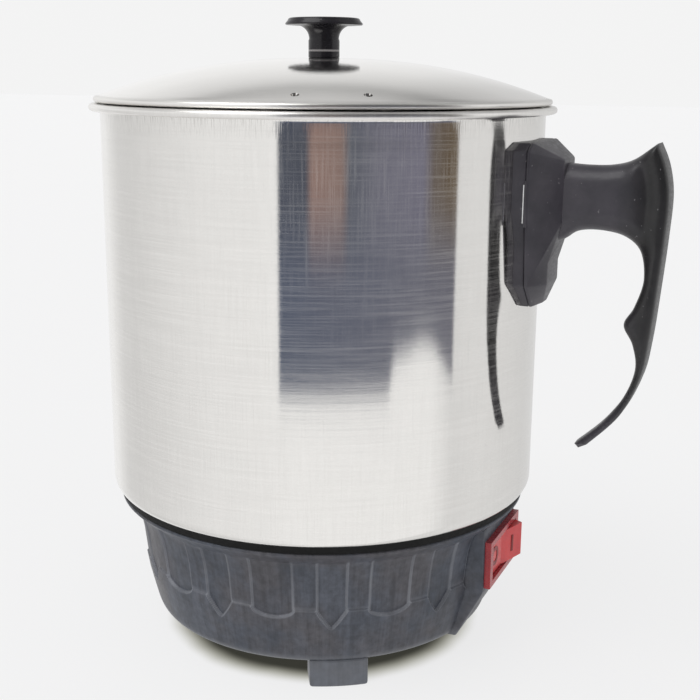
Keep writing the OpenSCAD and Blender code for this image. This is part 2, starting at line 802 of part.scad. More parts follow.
module lid_shell() {
    color([0.83, 0.82, 0.8])
        difference() {
            revolve(concat(
                dome_points(0, lid_dome_r - 0.4),
                [[lid_edge_r - 0.5, lid_bottom_z + 1.4], [lid_edge_r, lid_bottom_z + 0.8],
                 [lid_edge_r - 0.3, lid_bottom_z + 0.1], [lid_edge_r - 0.8, lid_bottom_z],
                 [skirt_r, lid_bottom_z], [skirt_r, lid_bottom_z - skirt_depth],
                 [skirt_r - lid_sheet, lid_bottom_z - skirt_depth]],
                reversed(dome_points(lid_sheet, skirt_r - lid_sheet))));
            translate([0, 0, lid_top_z - 5]) cylinder(h = 10, r = knob_thread_r + 0.1, $fn = 32);
            for (s = [-0.5, 0.5]) rotate([0, 0, vent_azimuth + s * vent_spread])
                translate([vent_ring_r, 0, lid_bottom_z]) cylinder(h = 30, r = vent_r, $fn = 24);
        }
}

module lid_knob() {
    color([0.16, 0.16, 0.18])
        difference() {
            revolve(concat(
                [[0, knob_base_z], [knob_neck_r - 0.3, knob_base_z], [knob_neck_r, knob_base_z + 0.3],
                 [knob_neck_r, knob_disc_z - 3.6]],
                arc(knob_neck_r + 4, knob_disc_z - 3.6, 4, 180, 105, 6),
                [[knob_r - 0.1, knob_disc_z], [knob_r, knob_disc_z + 0.3], [knob_r - 0.9, knob_disc_z + 2.1],
                 [knob_r - 2, knob_disc_z + 2.5], [0, knob_disc_z + 2.8]]));
            translate([0, 0, knob_base_z - 1]) cylinder(h = 9.5, r = insert_r, $fn = 32);
        }
}

module knob_insert() {
    color([0.85, 0.7, 0.35])
        translate([0, 0, knob_base_z + 0.3])
            difference() {
                cylinder(h = 8.2, r = insert_r - touch, $fn = 32);
                translate([0, 0, -1]) cylinder(h = 10.2, r = knob_thread_r, $fn = 32);
            }
}

module knob_washer() {
    color([0.2, 0.2, 0.2])
        translate([0, 0, washer_top_z - 0.8])
            difference() {
                cylinder(h = 0.8, r = 5.2, $fn = 32);
                translate([0, 0, -1]) cylinder(h = 3, r = knob_thread_r + 0.2, $fn = 32);
            }
}

module knob_screw() {
    head_h = 2;
    head_z = washer_top_z - 0.8;
    color([0.7, 0.7, 0.72])
        difference() {
            union() {
                translate([0, 0, head_z - head_h]) cylinder(h = head_h, r = 3.7, $fn = 32);
                translate([0, 0, head_z]) cylinder(h = knob_thread_z - head_z, r = knob_thread_r, $fn = 32);
            }
            translate([0, 0, head_z - head_h - 0.8]) cross_slot(2.4, 2);
        }
}

pot_body();
handle_bracket();
handle_seat();
handle();
handle_screw();
heat_plate();
heating_element();
element_beads();
thermostat();
thermostat_clip();
clip_screws();
thermal_fuse();
base_shell();
base_gasket();
base_stud();
base_washer();
base_nut();
earth_tag();
switch_housing();
switch_terminals();
neon_lamp();
rocker();
rocker_plunger();
rocker_spring();
contact_arm();
inlet_housing();
inlet_pins();
inlet_screws();
live_lead();
switched_lead();
fused_lead();
neutral_lead();
earth_lead();
lid_shell();
lid_knob();
knob_insert();
knob_screw();
knob_washer();
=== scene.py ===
"""The looks of the electric heating cup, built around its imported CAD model.

The frame is the CAD's: metres, the pot's axis is Z, the feet stand on z = 0 and the handle points along +X.
"""

import json
import math

import bmesh
import bpy
from mathutils import Matrix, Vector
from mathutils.geometry import delaunay_2d_cdt


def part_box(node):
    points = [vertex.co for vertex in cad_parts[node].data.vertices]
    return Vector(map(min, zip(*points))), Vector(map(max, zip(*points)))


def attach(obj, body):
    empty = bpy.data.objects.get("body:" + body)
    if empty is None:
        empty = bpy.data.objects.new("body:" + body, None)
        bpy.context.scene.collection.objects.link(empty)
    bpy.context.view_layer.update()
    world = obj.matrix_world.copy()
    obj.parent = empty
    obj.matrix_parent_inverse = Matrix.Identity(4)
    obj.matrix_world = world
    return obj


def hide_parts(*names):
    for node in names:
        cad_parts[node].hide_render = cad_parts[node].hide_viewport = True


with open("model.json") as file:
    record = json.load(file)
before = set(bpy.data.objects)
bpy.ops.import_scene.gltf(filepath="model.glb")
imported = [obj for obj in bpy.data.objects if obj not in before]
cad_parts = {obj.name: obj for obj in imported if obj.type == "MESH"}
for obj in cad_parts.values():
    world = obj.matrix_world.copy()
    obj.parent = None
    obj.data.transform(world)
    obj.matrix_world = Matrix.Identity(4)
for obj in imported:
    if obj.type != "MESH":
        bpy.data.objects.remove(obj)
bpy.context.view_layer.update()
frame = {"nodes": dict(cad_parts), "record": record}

MM = 0.001
SMOOTH_ANGLE = math.radians(32)


# ---------------- sizes, from the frame

def size_of(node):
    """Lowest and highest corner of a CAD node, in millimetres."""
    low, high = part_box(node)
    return low / MM, high / MM


pot_low, pot_high = size_of("pot_body")
lid_low, lid_high = size_of("lid_shell")
knob_low, knob_high = size_of("lid_knob")
bezel_low, bezel_high = size_of("switch_housing")
inlet_low, inlet_high = size_of("inlet_housing")
gasket_low = size_of("base_gasket")[0]
base_high = size_of("base_shell")[1]
seat_high = size_of("handle_seat")[1]

POT_RADIUS = 70.0
POT_WALL = 0.8
POT_CORNER = 4.0
POT_FLOOR = pot_low.z
RIM_TOP = pot_high.z
RIM_CURL = 1.1
RIM_REACH = pot_high.x

LID_BOTTOM = RIM_TOP + 0.4
LID_EDGE = LID_BOTTOM + 1.8
LID_TOP = lid_high.z
LID_FLATNESS = 2.3
LID_RADIUS = lid_high.x
DOME_RADIUS = POT_RADIUS + 0.8
LID_SHEET = 0.8
SKIRT_RADIUS = POT_RADIUS - POT_WALL - 0.5
SKIRT_BOTTOM = lid_low.z

KNOB_RADIUS = knob_high.x
KNOB_NECK = 4.9
KNOB_DISC = knob_high.z - 2.8

BASE_TOP = base_high.z
BASE_FLOOR = 8.0
BASE_WALL = 2.4
FOOT_WIDTH = 18.0
FOOT_RADIUS = 56.2

POD_FACE = bezel_high.x - 2.0
POD_HALF = (bezel_high.y - bezel_low.y) / 2 + 1.5
POD_TOP = 46.6
SWITCH_HEIGHT = (bezel_high.z + bezel_low.z) / 2
SWITCH_OPENING_HALF = 7.1
WALL_OPENING = POD_HALF - 1.4
POD_OPENING = POD_HALF - 2.9
INLET_FACE = -inlet_low.x - 2.5
RECESS_HALF = inlet_high.y + 1.0
INLET_HEIGHT = (inlet_high.z + inlet_low.z) / 2
INLET_OPENING_HALVES = (13.6, 9.85)

SEAM = seat_high.x
HANDLE_THICK = 13.0

# How far from the axis the tools start and end that cut through the base's wall
TOOL_NEAR = 40
TOOL_FAR = 80


def add_object(name, data):
    obj = bpy.data.objects.new(name, data)
    bpy.context.scene.collection.objects.link(obj)
    return obj


# ---------------- camera

CAMERA_PLACE = Vector((157.6, -342.6, 184.8)) * MM
CAMERA_LENS = 59.55
CAMERA_SENSOR = 36.0
CAMERA_YAW = math.radians(24.7 - 1.31)
CAMERA_PITCH = math.radians(13.68)
CAMERA_ROLL = math.radians(0.46)
IMAGE_WIDTH = 700
CENTRE_OFFSET = 1.0


def make_camera():
    """The photograph's viewpoint: it looks slightly down, with the handle to the right."""
    forward = Vector((-math.sin(CAMERA_YAW) * math.cos(CAMERA_PITCH),
                      math.cos(CAMERA_YAW) * math.cos(CAMERA_PITCH),
                      -math.sin(CAMERA_PITCH)))
    right = Vector((math.cos(CAMERA_YAW), math.sin(CAMERA_YAW), 0))
    up = right.cross(forward)
    rolled_right = right * math.cos(CAMERA_ROLL) + up * math.sin(CAMERA_ROLL)
    rolled_up = up * math.cos(CAMERA_ROLL) - right * math.sin(CAMERA_ROLL)
    data = bpy.data.cameras.new("camera")
    data.lens = CAMERA_LENS
    data.sensor_width = CAMERA_SENSOR
    data.shift_x = CENTRE_OFFSET / IMAGE_WIDTH
    data.clip_start = 0.01
    data.clip_end = 20
    data.dof.use_dof = False
    camera = add_object("camera", data)
    axes = Matrix((rolled_right, rolled_up, -forward)).transposed()
    camera.matrix_world = Matrix.Translation(CAMERA_PLACE) @ axes.to_4x4()
    bpy.context.scene.camera = camera


# ---------------- mesh helpers

def finish_mesh(bm, name, angle=SMOOTH_ANGLE):
    """Turns a bmesh in millimetres into an object in metres, smooth but for its sharp edges."""
    bmesh.ops.recalc_face_normals(bm, faces=bm.faces)
    bmesh.ops.scale(bm, vec=(MM, MM, MM), verts=bm.verts)
    mesh = bpy.data.meshes.new(name)
    bm.to_mesh(mesh)
    bm.free()
    mesh.shade_smooth()
    mesh.set_sharp_from_angle(angle=angle)
    return add_object(name, mesh)


def arc(cx, cy, radius, start, end, steps=8):
    """Points of a circle's arc between two angles in degrees."""
    turns = [math.radians(start + (end - start) * i / steps) for i in range(steps + 1)]
    return [(cx + radius * math.cos(a), cy + radius * math.sin(a)) for a in turns]


def spline_at(a, b, c, d, t):
    """A point between b and c on the smooth curve through four points."""
    return tuple(0.5 * (2 * b[i] + (c[i] - a[i]) * t + (2 * a[i] - 5 * b[i] + 4 * c[i] - d[i]) * t * t
                        + (3 * b[i] - a[i] - 3 * c[i] + d[i]) * t ** 3) for i in range(2))


def curve(points, steps=8):
    """A smooth curve through the points, its last point left to the next curve."""
    last = len(points) - 1
    made = []
    for i in range(last):
        a, b, c, d = (points[max(0, min(last, k))] for k in (i - 1, i, i + 1, i + 2))
        made += [spline_at(a, b, c, d, k / steps) for k in range(steps)]
    return made


def band(bm, low, high):
    """Faces between two rings of points, either of which may be a single point."""
    count = max(len(low), len(high))
    for k in range(count):
        n = (k + 1) % count
        around = [low[k % len(low)], low[n % len(low)], high[n % len(high)], high[k % len(high)]]
        bm.faces.new(list(dict.fromkeys(around)))


def turned(name, profile, steps, shape=None, closed=False):
    """Revolves a profile of (radius, height) points round Z. shape(radius, angle, height) may move each point."""
    bm = bmesh.new()
    rings = []
    for radius, height in profile:
        if radius < 1e-6:
            rings.append([bm.verts.new((0, 0, height))])
            continue
        ring = []
        for k in range(steps):
            angle = 2 * math.pi * k / steps
            r, z = shape(radius, angle, height) if shape else (radius, height)
            ring.append(bm.verts.new((r * math.cos(angle), r * math.sin(angle), z)))
        rings.append(ring)
    pairs = list(zip(rings, rings[1:]))
    if closed and len(rings[0]) > 1:
        pairs.append((rings[-1], rings[0]))
    for low, high in pairs:
        if len(low) > 1 or len(high) > 1:
            band(bm, low, high)
    return finish_mesh(bm, name)


def bevel_sharp(bm, width, segments=3, angle=25):
    """Rounds every edge that is sharper than the angle."""
    limit = math.radians(angle)
    edges = [e for e in bm.edges if len(e.link_faces) == 2 and e.calc_face_angle(0) > limit]
    bmesh.ops.bevel(bm, geom=edges, offset=width, segments=segments, profile=0.5,
                    affect="EDGES", clamp_overlap=True)


def prism(outline, low, high, place):
    """A bmesh prism over a flat outline, from low to high. place(u, v, w) gives the point in space."""
    bm = bmesh.new()
    bottom = [bm.verts.new(place(u, v, low)) for u, v in outline]
    top = [bm.verts.new(place(u, v, high)) for u, v in outline]
    band(bm, bottom, top)
    bm.faces.new(bottom[::-1])
    bm.faces.new(top)
    bmesh.ops.recalc_face_normals(bm, faces=bm.faces)
    return bm


def along_y(u, v, w):
    return (u, w, v)


def along_x(u, v, w):
    return (w, u, v)


def upward(u, v, w):
    return (u, v, w)


def hull(points):
    """A bmesh of the convex hull of the points, with its flat faces whole."""
    bm = bmesh.new()
    for p in points:
        bm.verts.new(p)
    made = bmesh.ops.convex_hull(bm, input=bm.verts)
    loose = [v for v in made["geom_interior"] if isinstance(v, bmesh.types.BMVert)]
    bmesh.ops.delete(bm, geom=loose, context="VERTS")
    bmesh.ops.dissolve_limit(bm, angle_limit=math.radians(1), verts=bm.verts, edges=bm.edges)
    return bm


def box_mesh(low, high):
    """A bmesh box between its lowest and highest corner."""
    bm = bmesh.new()
    made = bmesh.ops.create_cube(bm, size=1)
    centre = (Vector(low) + Vector(high)) / 2
    size = Vector(high) - Vector(low)
    bmesh.ops.scale(bm, vec=size, verts=made["verts"])
    bmesh.ops.translate(bm, vec=centre, verts=made["verts"])
    return bm


def combine(target, tool, operation):
    """Joins the tool to the target, keeps what they share or cuts it out, and removes the tool."""
    modifier = target.modifiers.new("combine", "BOOLEAN")
    modifier.operation = operation
    modifier.solver = "EXACT"
    modifier.object = tool
    bpy.context.view_layer.update()
    evaluated = target.evaluated_get(bpy.context.evaluated_depsgraph_get())
    mesh = bpy.data.meshes.new_from_object(evaluated)
    target.modifiers.clear()
    target.data = mesh
    mesh.shade_smooth()
    mesh.set_sharp_from_angle(angle=SMOOTH_ANGLE)
    bpy.data.objects.remove(tool)


def cut(target, *tools):
    """Cuts each tool out of the target."""
    for tool in tools:
        combine(target, tool, "DIFFERENCE")


def box_tool(low, high):
    """A box as an object, for cutting."""
    return finish_mesh(box_mesh(low, high), "tool")


def dress(obj, look, stands_for=(), body="kettle"):
    """Gives a finished piece its material, body and slot, and hides the CAD nodes that it stands for."""
    obj.data.materials.clear()
    obj.data.materials.append(MATERIALS[look])
    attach(obj, body)
    if stands_for:
        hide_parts(*stands_for)


# ---------------- material helpers

class Nodes:
    """A node tree under construction, with short calls for its nodes."""

    def __init__(self, tree):
        self.tree = tree

    def node(self, kind, inputs=None, **settings):
        made = self.tree.nodes.new(kind)
        for key, value in settings.items():
            setattr(made, key, value)
        for key, value in (inputs or {}).items():
            self.join(value, made.inputs[key])
        return made

    def join(self, value, socket):
        if isinstance(value, bpy.types.NodeSocket):
            self.tree.links.new(value, socket)
        else:
            socket.default_value = value

    def maths(self, operation, a, b=0.0):
        return self.node("ShaderNodeMath", {0: a, 1: b}, operation=operation).outputs[0]

    def plus(self, a, b):
        return self.maths("ADD", a, b)

    def minus(self, a, b):
        return self.maths("SUBTRACT", a, b)

    def times(self, a, b):
        return self.maths("MULTIPLY", a, b)

    def split(self, vector):
        """The X, Y and Z sockets of a vector."""
        return self.node("ShaderNodeSeparateXYZ", {"Vector": vector}).outputs

    def ramp(self, fac, *stops):
        """A colour ramp with (place, colour) stops."""
        made = self.node("ShaderNodeValToRGB", {"Fac": fac})
        elements = made.color_ramp.elements
        while len(elements) < len(stops):
            elements.new(0.5)
        for element, (place, colour) in zip(elements, stops):
            element.position = place
            element.color = (*colour, 1)
        return made.outputs["Color"]

    def drift(self, fac, dark, light, margin=0.3):
        """A colour that drifts between two with a noise."""
        return self.ramp(fac, (margin, dark), (1 - margin, light))

    def span(self, fac, low, high, to_low=0.0, to_high=1.0, **settings):
        """A value carried from one range to another, and held at its ends."""
        made = self.node("ShaderNodeMapRange", {"Value": fac, "From Min": low, "From Max": high,
                                                "To Min": to_low, "To Max": to_high}, **settings)
        return made.outputs[0]

    def mix(self, fac, a, b, blend="MIX"):
        made = self.node("ShaderNodeMix", {"Factor": fac, 6: a, 7: b}, data_type="RGBA", blend_type=blend)
        return made.outputs[2]


class Shader(Nodes):
    """A material under construction."""

    def __init__(self, name):
        self.material = bpy.data.materials.new(name)
        self.material.use_nodes = True
        super().__init__(self.material.node_tree)
        self.surface = self.tree.nodes["Principled BSDF"]
        self.place = self.node("ShaderNodeTexCoord").outputs["Object"]

    def set(self, **values):
        for key, value in values.items():
            self.join(value, self.surface.inputs[key.replace("_", " ")])

    def stretched(self, scale, place=None):
        return self.node("ShaderNodeMapping", {"Vector": place or self.place, "Scale": scale}).outputs[0]

    def noise(self, scale, detail=4.0, roughness=0.5, place=None):
        """Noise, its scale in features per metre of the object."""
        made = self.node("ShaderNodeTexNoise", {"Vector": place or self.place, "Scale": scale,
                                                "Detail": detail, "Roughness": roughness})
        return made.outputs["Fac"]

    def streaks(self, scale, way, detail=3.0, roughness=0.6):
        """Noise stretched along the coordinates, with its own scale for each of them."""
        return self.noise(1.0, detail, roughness, self.stretched(scale, way))

    def around(self):
        """Coordinates that run round Z: the way round, the radius and the height, all in metres."""
        parts = self.split(self.place)
        angle = self.maths("ARCTAN2", parts["Y"], parts["X"])
        squares = [self.maths("POWER", parts[axis], 2.0) for axis in ("X", "Y")]
        radius = self.maths("SQRT", self.plus(*squares))
        way = self.times(angle, POT_RADIUS * MM)
        joined = self.node("ShaderNodeCombineXYZ", {"X": way, "Y": radius, "Z": parts["Z"]})
        return joined.outputs[0], radius, parts["Z"]

    def bump(self, height, distance, strength=1.0, after=None):
        made = self.node("ShaderNodeBump", {"Height": height, "Distance": distance, "Strength": strength})
        if after is not None:
            self.join(after, made.inputs["Normal"])
        return made.outputs[0]

    def brushed(self, amount):
        """Highlights drawn out across brushing that runs round Z."""
        self.set(Anisotropic=amount, Anisotropic_Rotation=0.25,
                 Tangent=self.node("ShaderNodeTangent", direction_type="RADIAL", axis="Z").outputs[0])


def grey(value, tint=(1, 1, 1)):
    """A grey, or a darker or lighter shade of a tint."""
    return tuple(value * t for t in tint)


# Name of the mesh value that carries the painted highlight along the base's relief edges
PAINTED_HIGHLIGHT = "painted_highlight"


STEEL = (0.875, 0.86, 0.835)
SCRATCH_HALF_WIDTH = 0.00022
SCRATCH_FADE = 0.01

# Height, slope and reach round the pot of the faint scratches: millimetres, and degrees from the handle
SCRATCHES = ((127.0, 0.035, -125, -62), (117.3, 0.030, -122, -70), (136.5, -0.02, -95, -60))


def scratches(s, way):
    """A faint mask of a few long, slightly sloping scratches."""
    parts = s.split(way)
    broken = s.streaks((180, 60, 60), way)
    mask = 0.0
    for height, slope, start, end in SCRATCHES:
        low, high = (math.radians(a) * POT_RADIUS * MM for a in (start, end))
        middle, reach = (low + high) / 2, (high - low) / 2
        line = s.times(s.minus(parts["X"], middle), slope)
        off = s.maths("ABSOLUTE", s.minus(s.minus(parts["Z"], height * MM), line))
        near = s.span(off, 0.0, SCRATCH_HALF_WIDTH, 0.35, 0.0)
        along = s.maths("ABSOLUTE", s.minus(parts["X"], middle))
        within = s.span(along, reach - SCRATCH_FADE, reach, 1.0, 0.0)
        mask = s.maths("MAXIMUM", mask, s.times(near, within))
    return s.times(mask, s.span(broken, 0.4, 0.6, 0.2, 1.0))


def pot_steel(name):
    """Mirror-like sheet with fine brushing both ways, hairlines under the rim and polishing rings below."""
    s = Shader(name)
    way, _, height = s.around()
    brushing = s.streaks((60, 60, 9000), way)
    coarse = s.streaks((14, 14, 1500), way, 2, 0.5)
    uprights = s.streaks((3300, 60, 60), way, 3, 0.65)
    levels = s.streaks((35, 60, 2500), way, 3, 0.65)
    hairs = s.streaks((2600, 100, 130), way, 2, 0.6)
    rings = s.streaks((5, 5, 520), way, 1, 0.4)
    smudge = s.noise(34, 4, 0.6)
    under_rim = s.span(height, (RIM_TOP - 8) * MM, (RIM_TOP - 3) * MM)
    on_wall = s.span(height, (RIM_TOP - 2.4) * MM, (RIM_TOP - 2.1) * MM, 1.0, 0.0)
    low_down = s.span(height, 108 * MM, 84 * MM)

    tone = s.drift(smudge, grey(0.985, STEEL), grey(1.01, STEEL), 0.25)
    weave = s.times(s.plus(levels, uprights), 0.5)
    lines = s.drift(weave, grey(0.93), grey(1.03), 0.36)
    tinted = s.mix(0.9, tone, lines, "MULTIPLY")
    dashes = s.times(s.span(hairs, 0.50, 0.62, 0.0, 0.34), s.times(under_rim, on_wall))
    dashed = s.mix(dashes, tinted, (0.42, 0.40, 0.38, 1))
    worn = s.mix(scratches(s, way), dashed, (0.97, 0.95, 0.92, 1))

    dull_rim = s.span(height, (RIM_TOP - 2.4) * MM, (RIM_TOP - 1.8) * MM, 0.0, 0.24)
    rough = s.plus(s.span(coarse, 0.3, 0.7, 0.06, 0.10), dull_rim)
    lower_levels = s.times(levels, s.span(height, 155 * MM, 120 * MM, 0.94, 1.04))
    upper_lines = s.times(uprights, s.span(height, 150 * MM, 110 * MM, 0.97, 0.86))
    haze = s.span(s.maths("MAXIMUM", upper_lines, lower_levels), 0.47, 0.66, 1.0, 0.89)

    fine = s.bump(brushing, 0.00001, 0.3)
    hair = s.bump(s.times(hairs, under_rim), 0.00003, 0.6, fine)
    ringed = s.bump(s.times(rings, low_down), 0.00004, 0.4, hair)
    s.set(Base_Color=worn, Metallic=haze, Roughness=rough, Normal=ringed)
    s.brushed(0.75)
    return s.material


def lid_steel(name):
    """Spun sheet: fine rings round the middle of the dome over a soft mirror, with a duller edge."""
    s = Shader(name)
    way, radius, _ = s.around()
    brushing = s.streaks((50, 5200, 2200), way)
    smudge = s.noise(40, 4, 0.6)
    dull_edge = s.span(radius, (DOME_RADIUS - 1.0) * MM, (DOME_RADIUS - 0.3) * MM, 0.0, 0.28)
    s.set(Base_Color=s.drift(smudge, grey(0.97, STEEL), grey(1.02, STEEL), 0.25), Metallic=1.0,
          Roughness=s.plus(s.span(smudge, 0.3, 0.7, 0.06, 0.10), dull_edge),
          Normal=s.bump(brushing, 0.00002, 0.4))
    s.brushed(0.5)
    return s.material


def plain_metal(name, colour, rough, grain=2500.0):
    """Bare or plated metal with a fine grain and a little tarnish."""
    s = Shader(name)
    marks = s.noise(grain, 3, 0.6)
    patches = s.noise(260, 4, 0.6)
    tone = s.drift(patches, grey(0.82, colour), colour)
    s.set(Base_Color=tone, Metallic=1.0, Roughness=s.span(marks, 0.3, 0.7, rough * 0.8, rough * 1.3),
          Normal=s.bump(marks, 0.00002, 0.4))
    return s.material


def moulded(name, dark, light, rough, shine=0.5):
    """Moulded plastic: a faint skin texture and slightly uneven colour."""
    s = Shader(name)
    skin = s.noise(900, 3, 0.6)
    cloud = s.noise(90, 5, 0.6)
    s.set(Base_Color=s.drift(cloud, dark, light), Specular_IOR_Level=shine,
          Roughness=s.span(skin, 0.3, 0.7, rough * 0.85, rough * 1.15), Normal=s.bump(skin, 0.00003, 0.5))
    return s.material


def handle_plastic(name, shine, shade=1.0, rough=0.37, highlight_ring_height=None):
    """Satin phenolic, dark with a violet cast, scuffed, darker along the hook, with a painted highlight ring if
    wanted.
    """
    s = Shader(name)
    skin = s.noise(1100, 3, 0.6)
    cloud = s.noise(110, 5, 0.6)
    specks = s.noise(900, 1, 0.3)
    scuffs = s.streaks((350, 350, 1500), s.place, 2, 0.5)
    reach = s.split(s.place)["X"]
    arm_tone = s.drift(cloud, grey(shade, (0.034, 0.032, 0.040)), grey(shade, (0.058, 0.053, 0.064)))
    hook_tone = s.drift(cloud, (0.012, 0.012, 0.013), (0.022, 0.021, 0.022))
    tone = s.mix(s.span(reach, 95 * MM, 104 * MM), arm_tone, hook_tone)
    dotted = s.mix(s.span(specks, 0.75, 0.79, 0.0, 0.55), tone, (0.20, 0.19, 0.20, 1))
    # Painted highlight: a light grey ring painted round the part at this height
    if highlight_ring_height:
        off = s.maths("ABSOLUTE", s.minus(s.around()[2], highlight_ring_height * MM))
        dotted = s.mix(s.span(off, 0.00015, 0.0004, 0.75, 0.0), dotted, (0.42, 0.40, 0.40, 1))
    s.set(Base_Color=dotted, Specular_IOR_Level=shine, Normal=s.bump(skin, 0.00003, 0.5),
          Roughness=s.span(s.plus(skin, scuffs), 0.7, 1.3, rough - 0.07, rough + 0.07))
    return s.material


def base_plastic(name):
    """Satin plastic, mottled blue-grey and brown, with faint upright flow lines, a painted highlight along the
    relief's edges and a painted highlight on the bottom roll.
    """
    s = Shader(name)
    skin = s.noise(900, 3, 0.6)
    way, _, height = s.around()
    mottle = s.streaks((60, 60, 60), way, 5)
    flow = s.streaks((520, 60, 35), way, 4, 0.7)
    specks = s.noise(420, 3, 0.6)
    tint = s.noise(38, 4, 0.6)
    tone = s.ramp(mottle, (0.3, (0.052, 0.061, 0.082)), (0.72, (0.097, 0.106, 0.132)))
    warm = s.mix(s.span(tint, 0.46, 0.62, 0.0, 0.55), tone, (0.092, 0.081, 0.083, 1))
    grain = s.times(s.plus(flow, specks), 0.5)
    streaked = s.mix(0.85, warm, s.drift(grain, grey(0.44), grey(0.96), 0.38), "MULTIPLY")
    # Painted highlight: the relief's edges are coloured lighter, like ledges that catch the light
    painted_highlight = s.node("ShaderNodeAttribute", attribute_name=PAINTED_HIGHLIGHT).outputs["Fac"]
    highlighted = s.mix(s.times(painted_highlight, s.span(mottle, 0.3, 0.7, 0.35, 0.8)), streaked, (0.26, 0.27, 0.30, 1))
    # Painted highlight: the base is coloured lighter on the roll at its bottom edge, where it faces the bright
    # table
    rolled = s.mix(s.span(height, (BASE_FLOOR + 3.2) * MM, (BASE_FLOOR + 1.4) * MM, 0.0, 0.35), highlighted,
                   (0.20, 0.21, 0.23, 1))
    s.set(Base_Color=rolled, Specular_IOR_Level=0.4, Normal=s.bump(skin, 0.00004, 0.5),
          Roughness=s.span(s.plus(skin, mottle), 0.7, 1.3, 0.36, 0.50))
    return s.material


def red_plastic(name, dark, light, rough, through, shine=0.4):
    """Glossy red plastic that light enters a little."""
    s = Shader(name)
    cloud = s.noise(160, 4, 0.6)
    skin = s.noise(700, 2, 0.5)
    s.set(Base_Color=s.drift(cloud, dark, light), Specular_IOR_Level=shine,
          Roughness=s.span(skin, 0.3, 0.7, rough * 0.8, rough * 1.2), Normal=s.bump(skin, 0.00002, 0.3),
          Coat_Weight=0.2, Coat_Roughness=0.12, Subsurface_Weight=through, Subsurface_Scale=0.002)
    s.surface.inputs["Subsurface Radius"].default_value = (1.0, 0.15, 0.1)
    return s.material


def braided(name, colour):
    """Glass-fibre sleeve: a small criss-cross weave."""
    s = Shader(name)
    weave = s.node("ShaderNodeTexWave", {"Vector": s.place, "Scale": 700.0, "Distortion": 2.0},
                   wave_type="BANDS", bands_direction="DIAGONAL").outputs["Fac"]
    s.set(Base_Color=s.drift(weave, grey(0.7, colour), colour, 0.2), Roughness=0.8,
          Normal=s.bump(weave, 0.0001, 0.6))
    return s.material


def clear_glass(name, colour):
    """Tinted glass with slightly uneven colour."""
    s = Shader(name)
    cloud = s.noise(300, 2, 0.5)
    s.set(Base_Color=s.drift(cloud, grey(0.85, colour), colour), Roughness=0.08,
          Transmission_Weight=0.6)
    return s.material


# Each look: the function that makes it, its name, and that function's other values
LOOKS = (
    (pot_steel, "pot_steel"),
    (lid_steel, "lid_steel"),
    (plain_metal, "bracket_steel", grey(0.82), 0.28),
    (handle_plastic, "handle_plastic", 0.42),
    # The knob carries a painted highlight ring on its neck, 2.2 mm above its foot
    (handle_plastic, "knob_plastic", 0.3, 0.4, 0.24, knob_low.z + 2.2),
    (plain_metal, "screw_steel", (0.66, 0.66, 0.67), 0.3),
    (plain_metal, "heater_aluminium", (0.70, 0.70, 0.72), 0.5, 1200),
    (plain_metal, "tube_steel", (0.34, 0.32, 0.31), 0.45),
    (moulded, "ceramic", (0.74, 0.71, 0.66), (0.84, 0.82, 0.77), 0.7),
    (moulded, "thermostat_black", (0.03, 0.026, 0.024), (0.05, 0.044, 0.04), 0.45),
    (braided, "fuse_sleeve", (0.82, 0.79, 0.66)),
    (base_plastic, "base_plastic"),
    (moulded, "seal_rubber", grey(0.008), grey(0.012), 0.7, 0.12),
    (plain_metal, "contact_brass", (0.78, 0.60, 0.30), 0.3),
    (red_plastic, "bezel_red", (0.28, 0.020, 0.028), (0.36, 0.035, 0.042), 0.28, 0.15, 0.3),
    (red_plastic, "rocker_red", (0.50, 0.03, 0.035), (0.60, 0.05, 0.05), 0.35, 0.25),
    (red_plastic, "mark_red", (0.16, 0.0, 0.0), (0.22, 0.005, 0.005), 0.45, 0.0),
    (clear_glass, "neon_glass", (0.95, 0.60, 0.40)),
    (moulded, "inlet_plastic", (0.020, 0.020, 0.022), (0.032, 0.032, 0.035), 0.42),
    (moulded, "wire_brown", (0.20, 0.08, 0.03), (0.27, 0.12, 0.05), 0.5),
    (moulded, "wire_red", (0.50, 0.04, 0.03), (0.62, 0.06, 0.05), 0.5),
    (braided, "wire_white", (0.82, 0.80, 0.72)),
    (moulded, "wire_blue", (0.04, 0.11, 0.42), (0.07, 0.15, 0.52), 0.5),
    (moulded, "wire_green", (0.15, 0.38, 0.05), (0.22, 0.46, 0.09), 0.5),
)
MATERIALS = {name: make(name, *values) for make, name, *values in LOOKS}


# ---------------- pot, lid and knob

def make_pot():
    """Straight sheet-steel pot with a rounded bottom corner and a rolled rim."""
    corner = POT_RADIUS - POT_CORNER
    curl_x = RIM_REACH - RIM_CURL
    curl_z = RIM_TOP - RIM_CURL
    inner = POT_RADIUS - POT_WALL
    wall_foot = POT_FLOOR + POT_CORNER
    profile = [(0, POT_FLOOR), (corner * 0.5, POT_FLOOR)]
    profile += arc(corner, wall_foot, POT_CORNER, -90, 0, 16)
    profile += [(POT_RADIUS, wall_foot + (curl_z - 2 - wall_foot) * k / 24) for k in range(1, 25)]
    profile += [(POT_RADIUS + 0.15, curl_z - 0.9), (POT_RADIUS + 0.55, curl_z - 0.35)]
    profile += arc(curl_x, curl_z, RIM_CURL, -150, 90, 28)
    profile += arc(inner + 1.2, RIM_TOP - 1.0, 1.0, 96, 178, 6)
    profile += [(inner, curl_z - 2), (inner, wall_foot)]
    profile += arc(corner, wall_foot, POT_CORNER - POT_WALL, 0, -90, 12)
    profile += [(0, POT_FLOOR + POT_WALL)]
    pot = turned("pot_shell", profile, 320)
    dress(pot, "pot_steel", ["pot_body"])


def dome_height(radius):
    """Height of the lid's upper face, which is flat in the middle and steep at the edge."""
    return LID_EDGE + (LID_TOP - LID_EDGE) * (1 - (radius / DOME_RADIUS) ** LID_FLATNESS)


VENT_RADIUS = 1.2
VENT_RING = 65.5
VENT_ANGLES = (-72.0, -55.0)


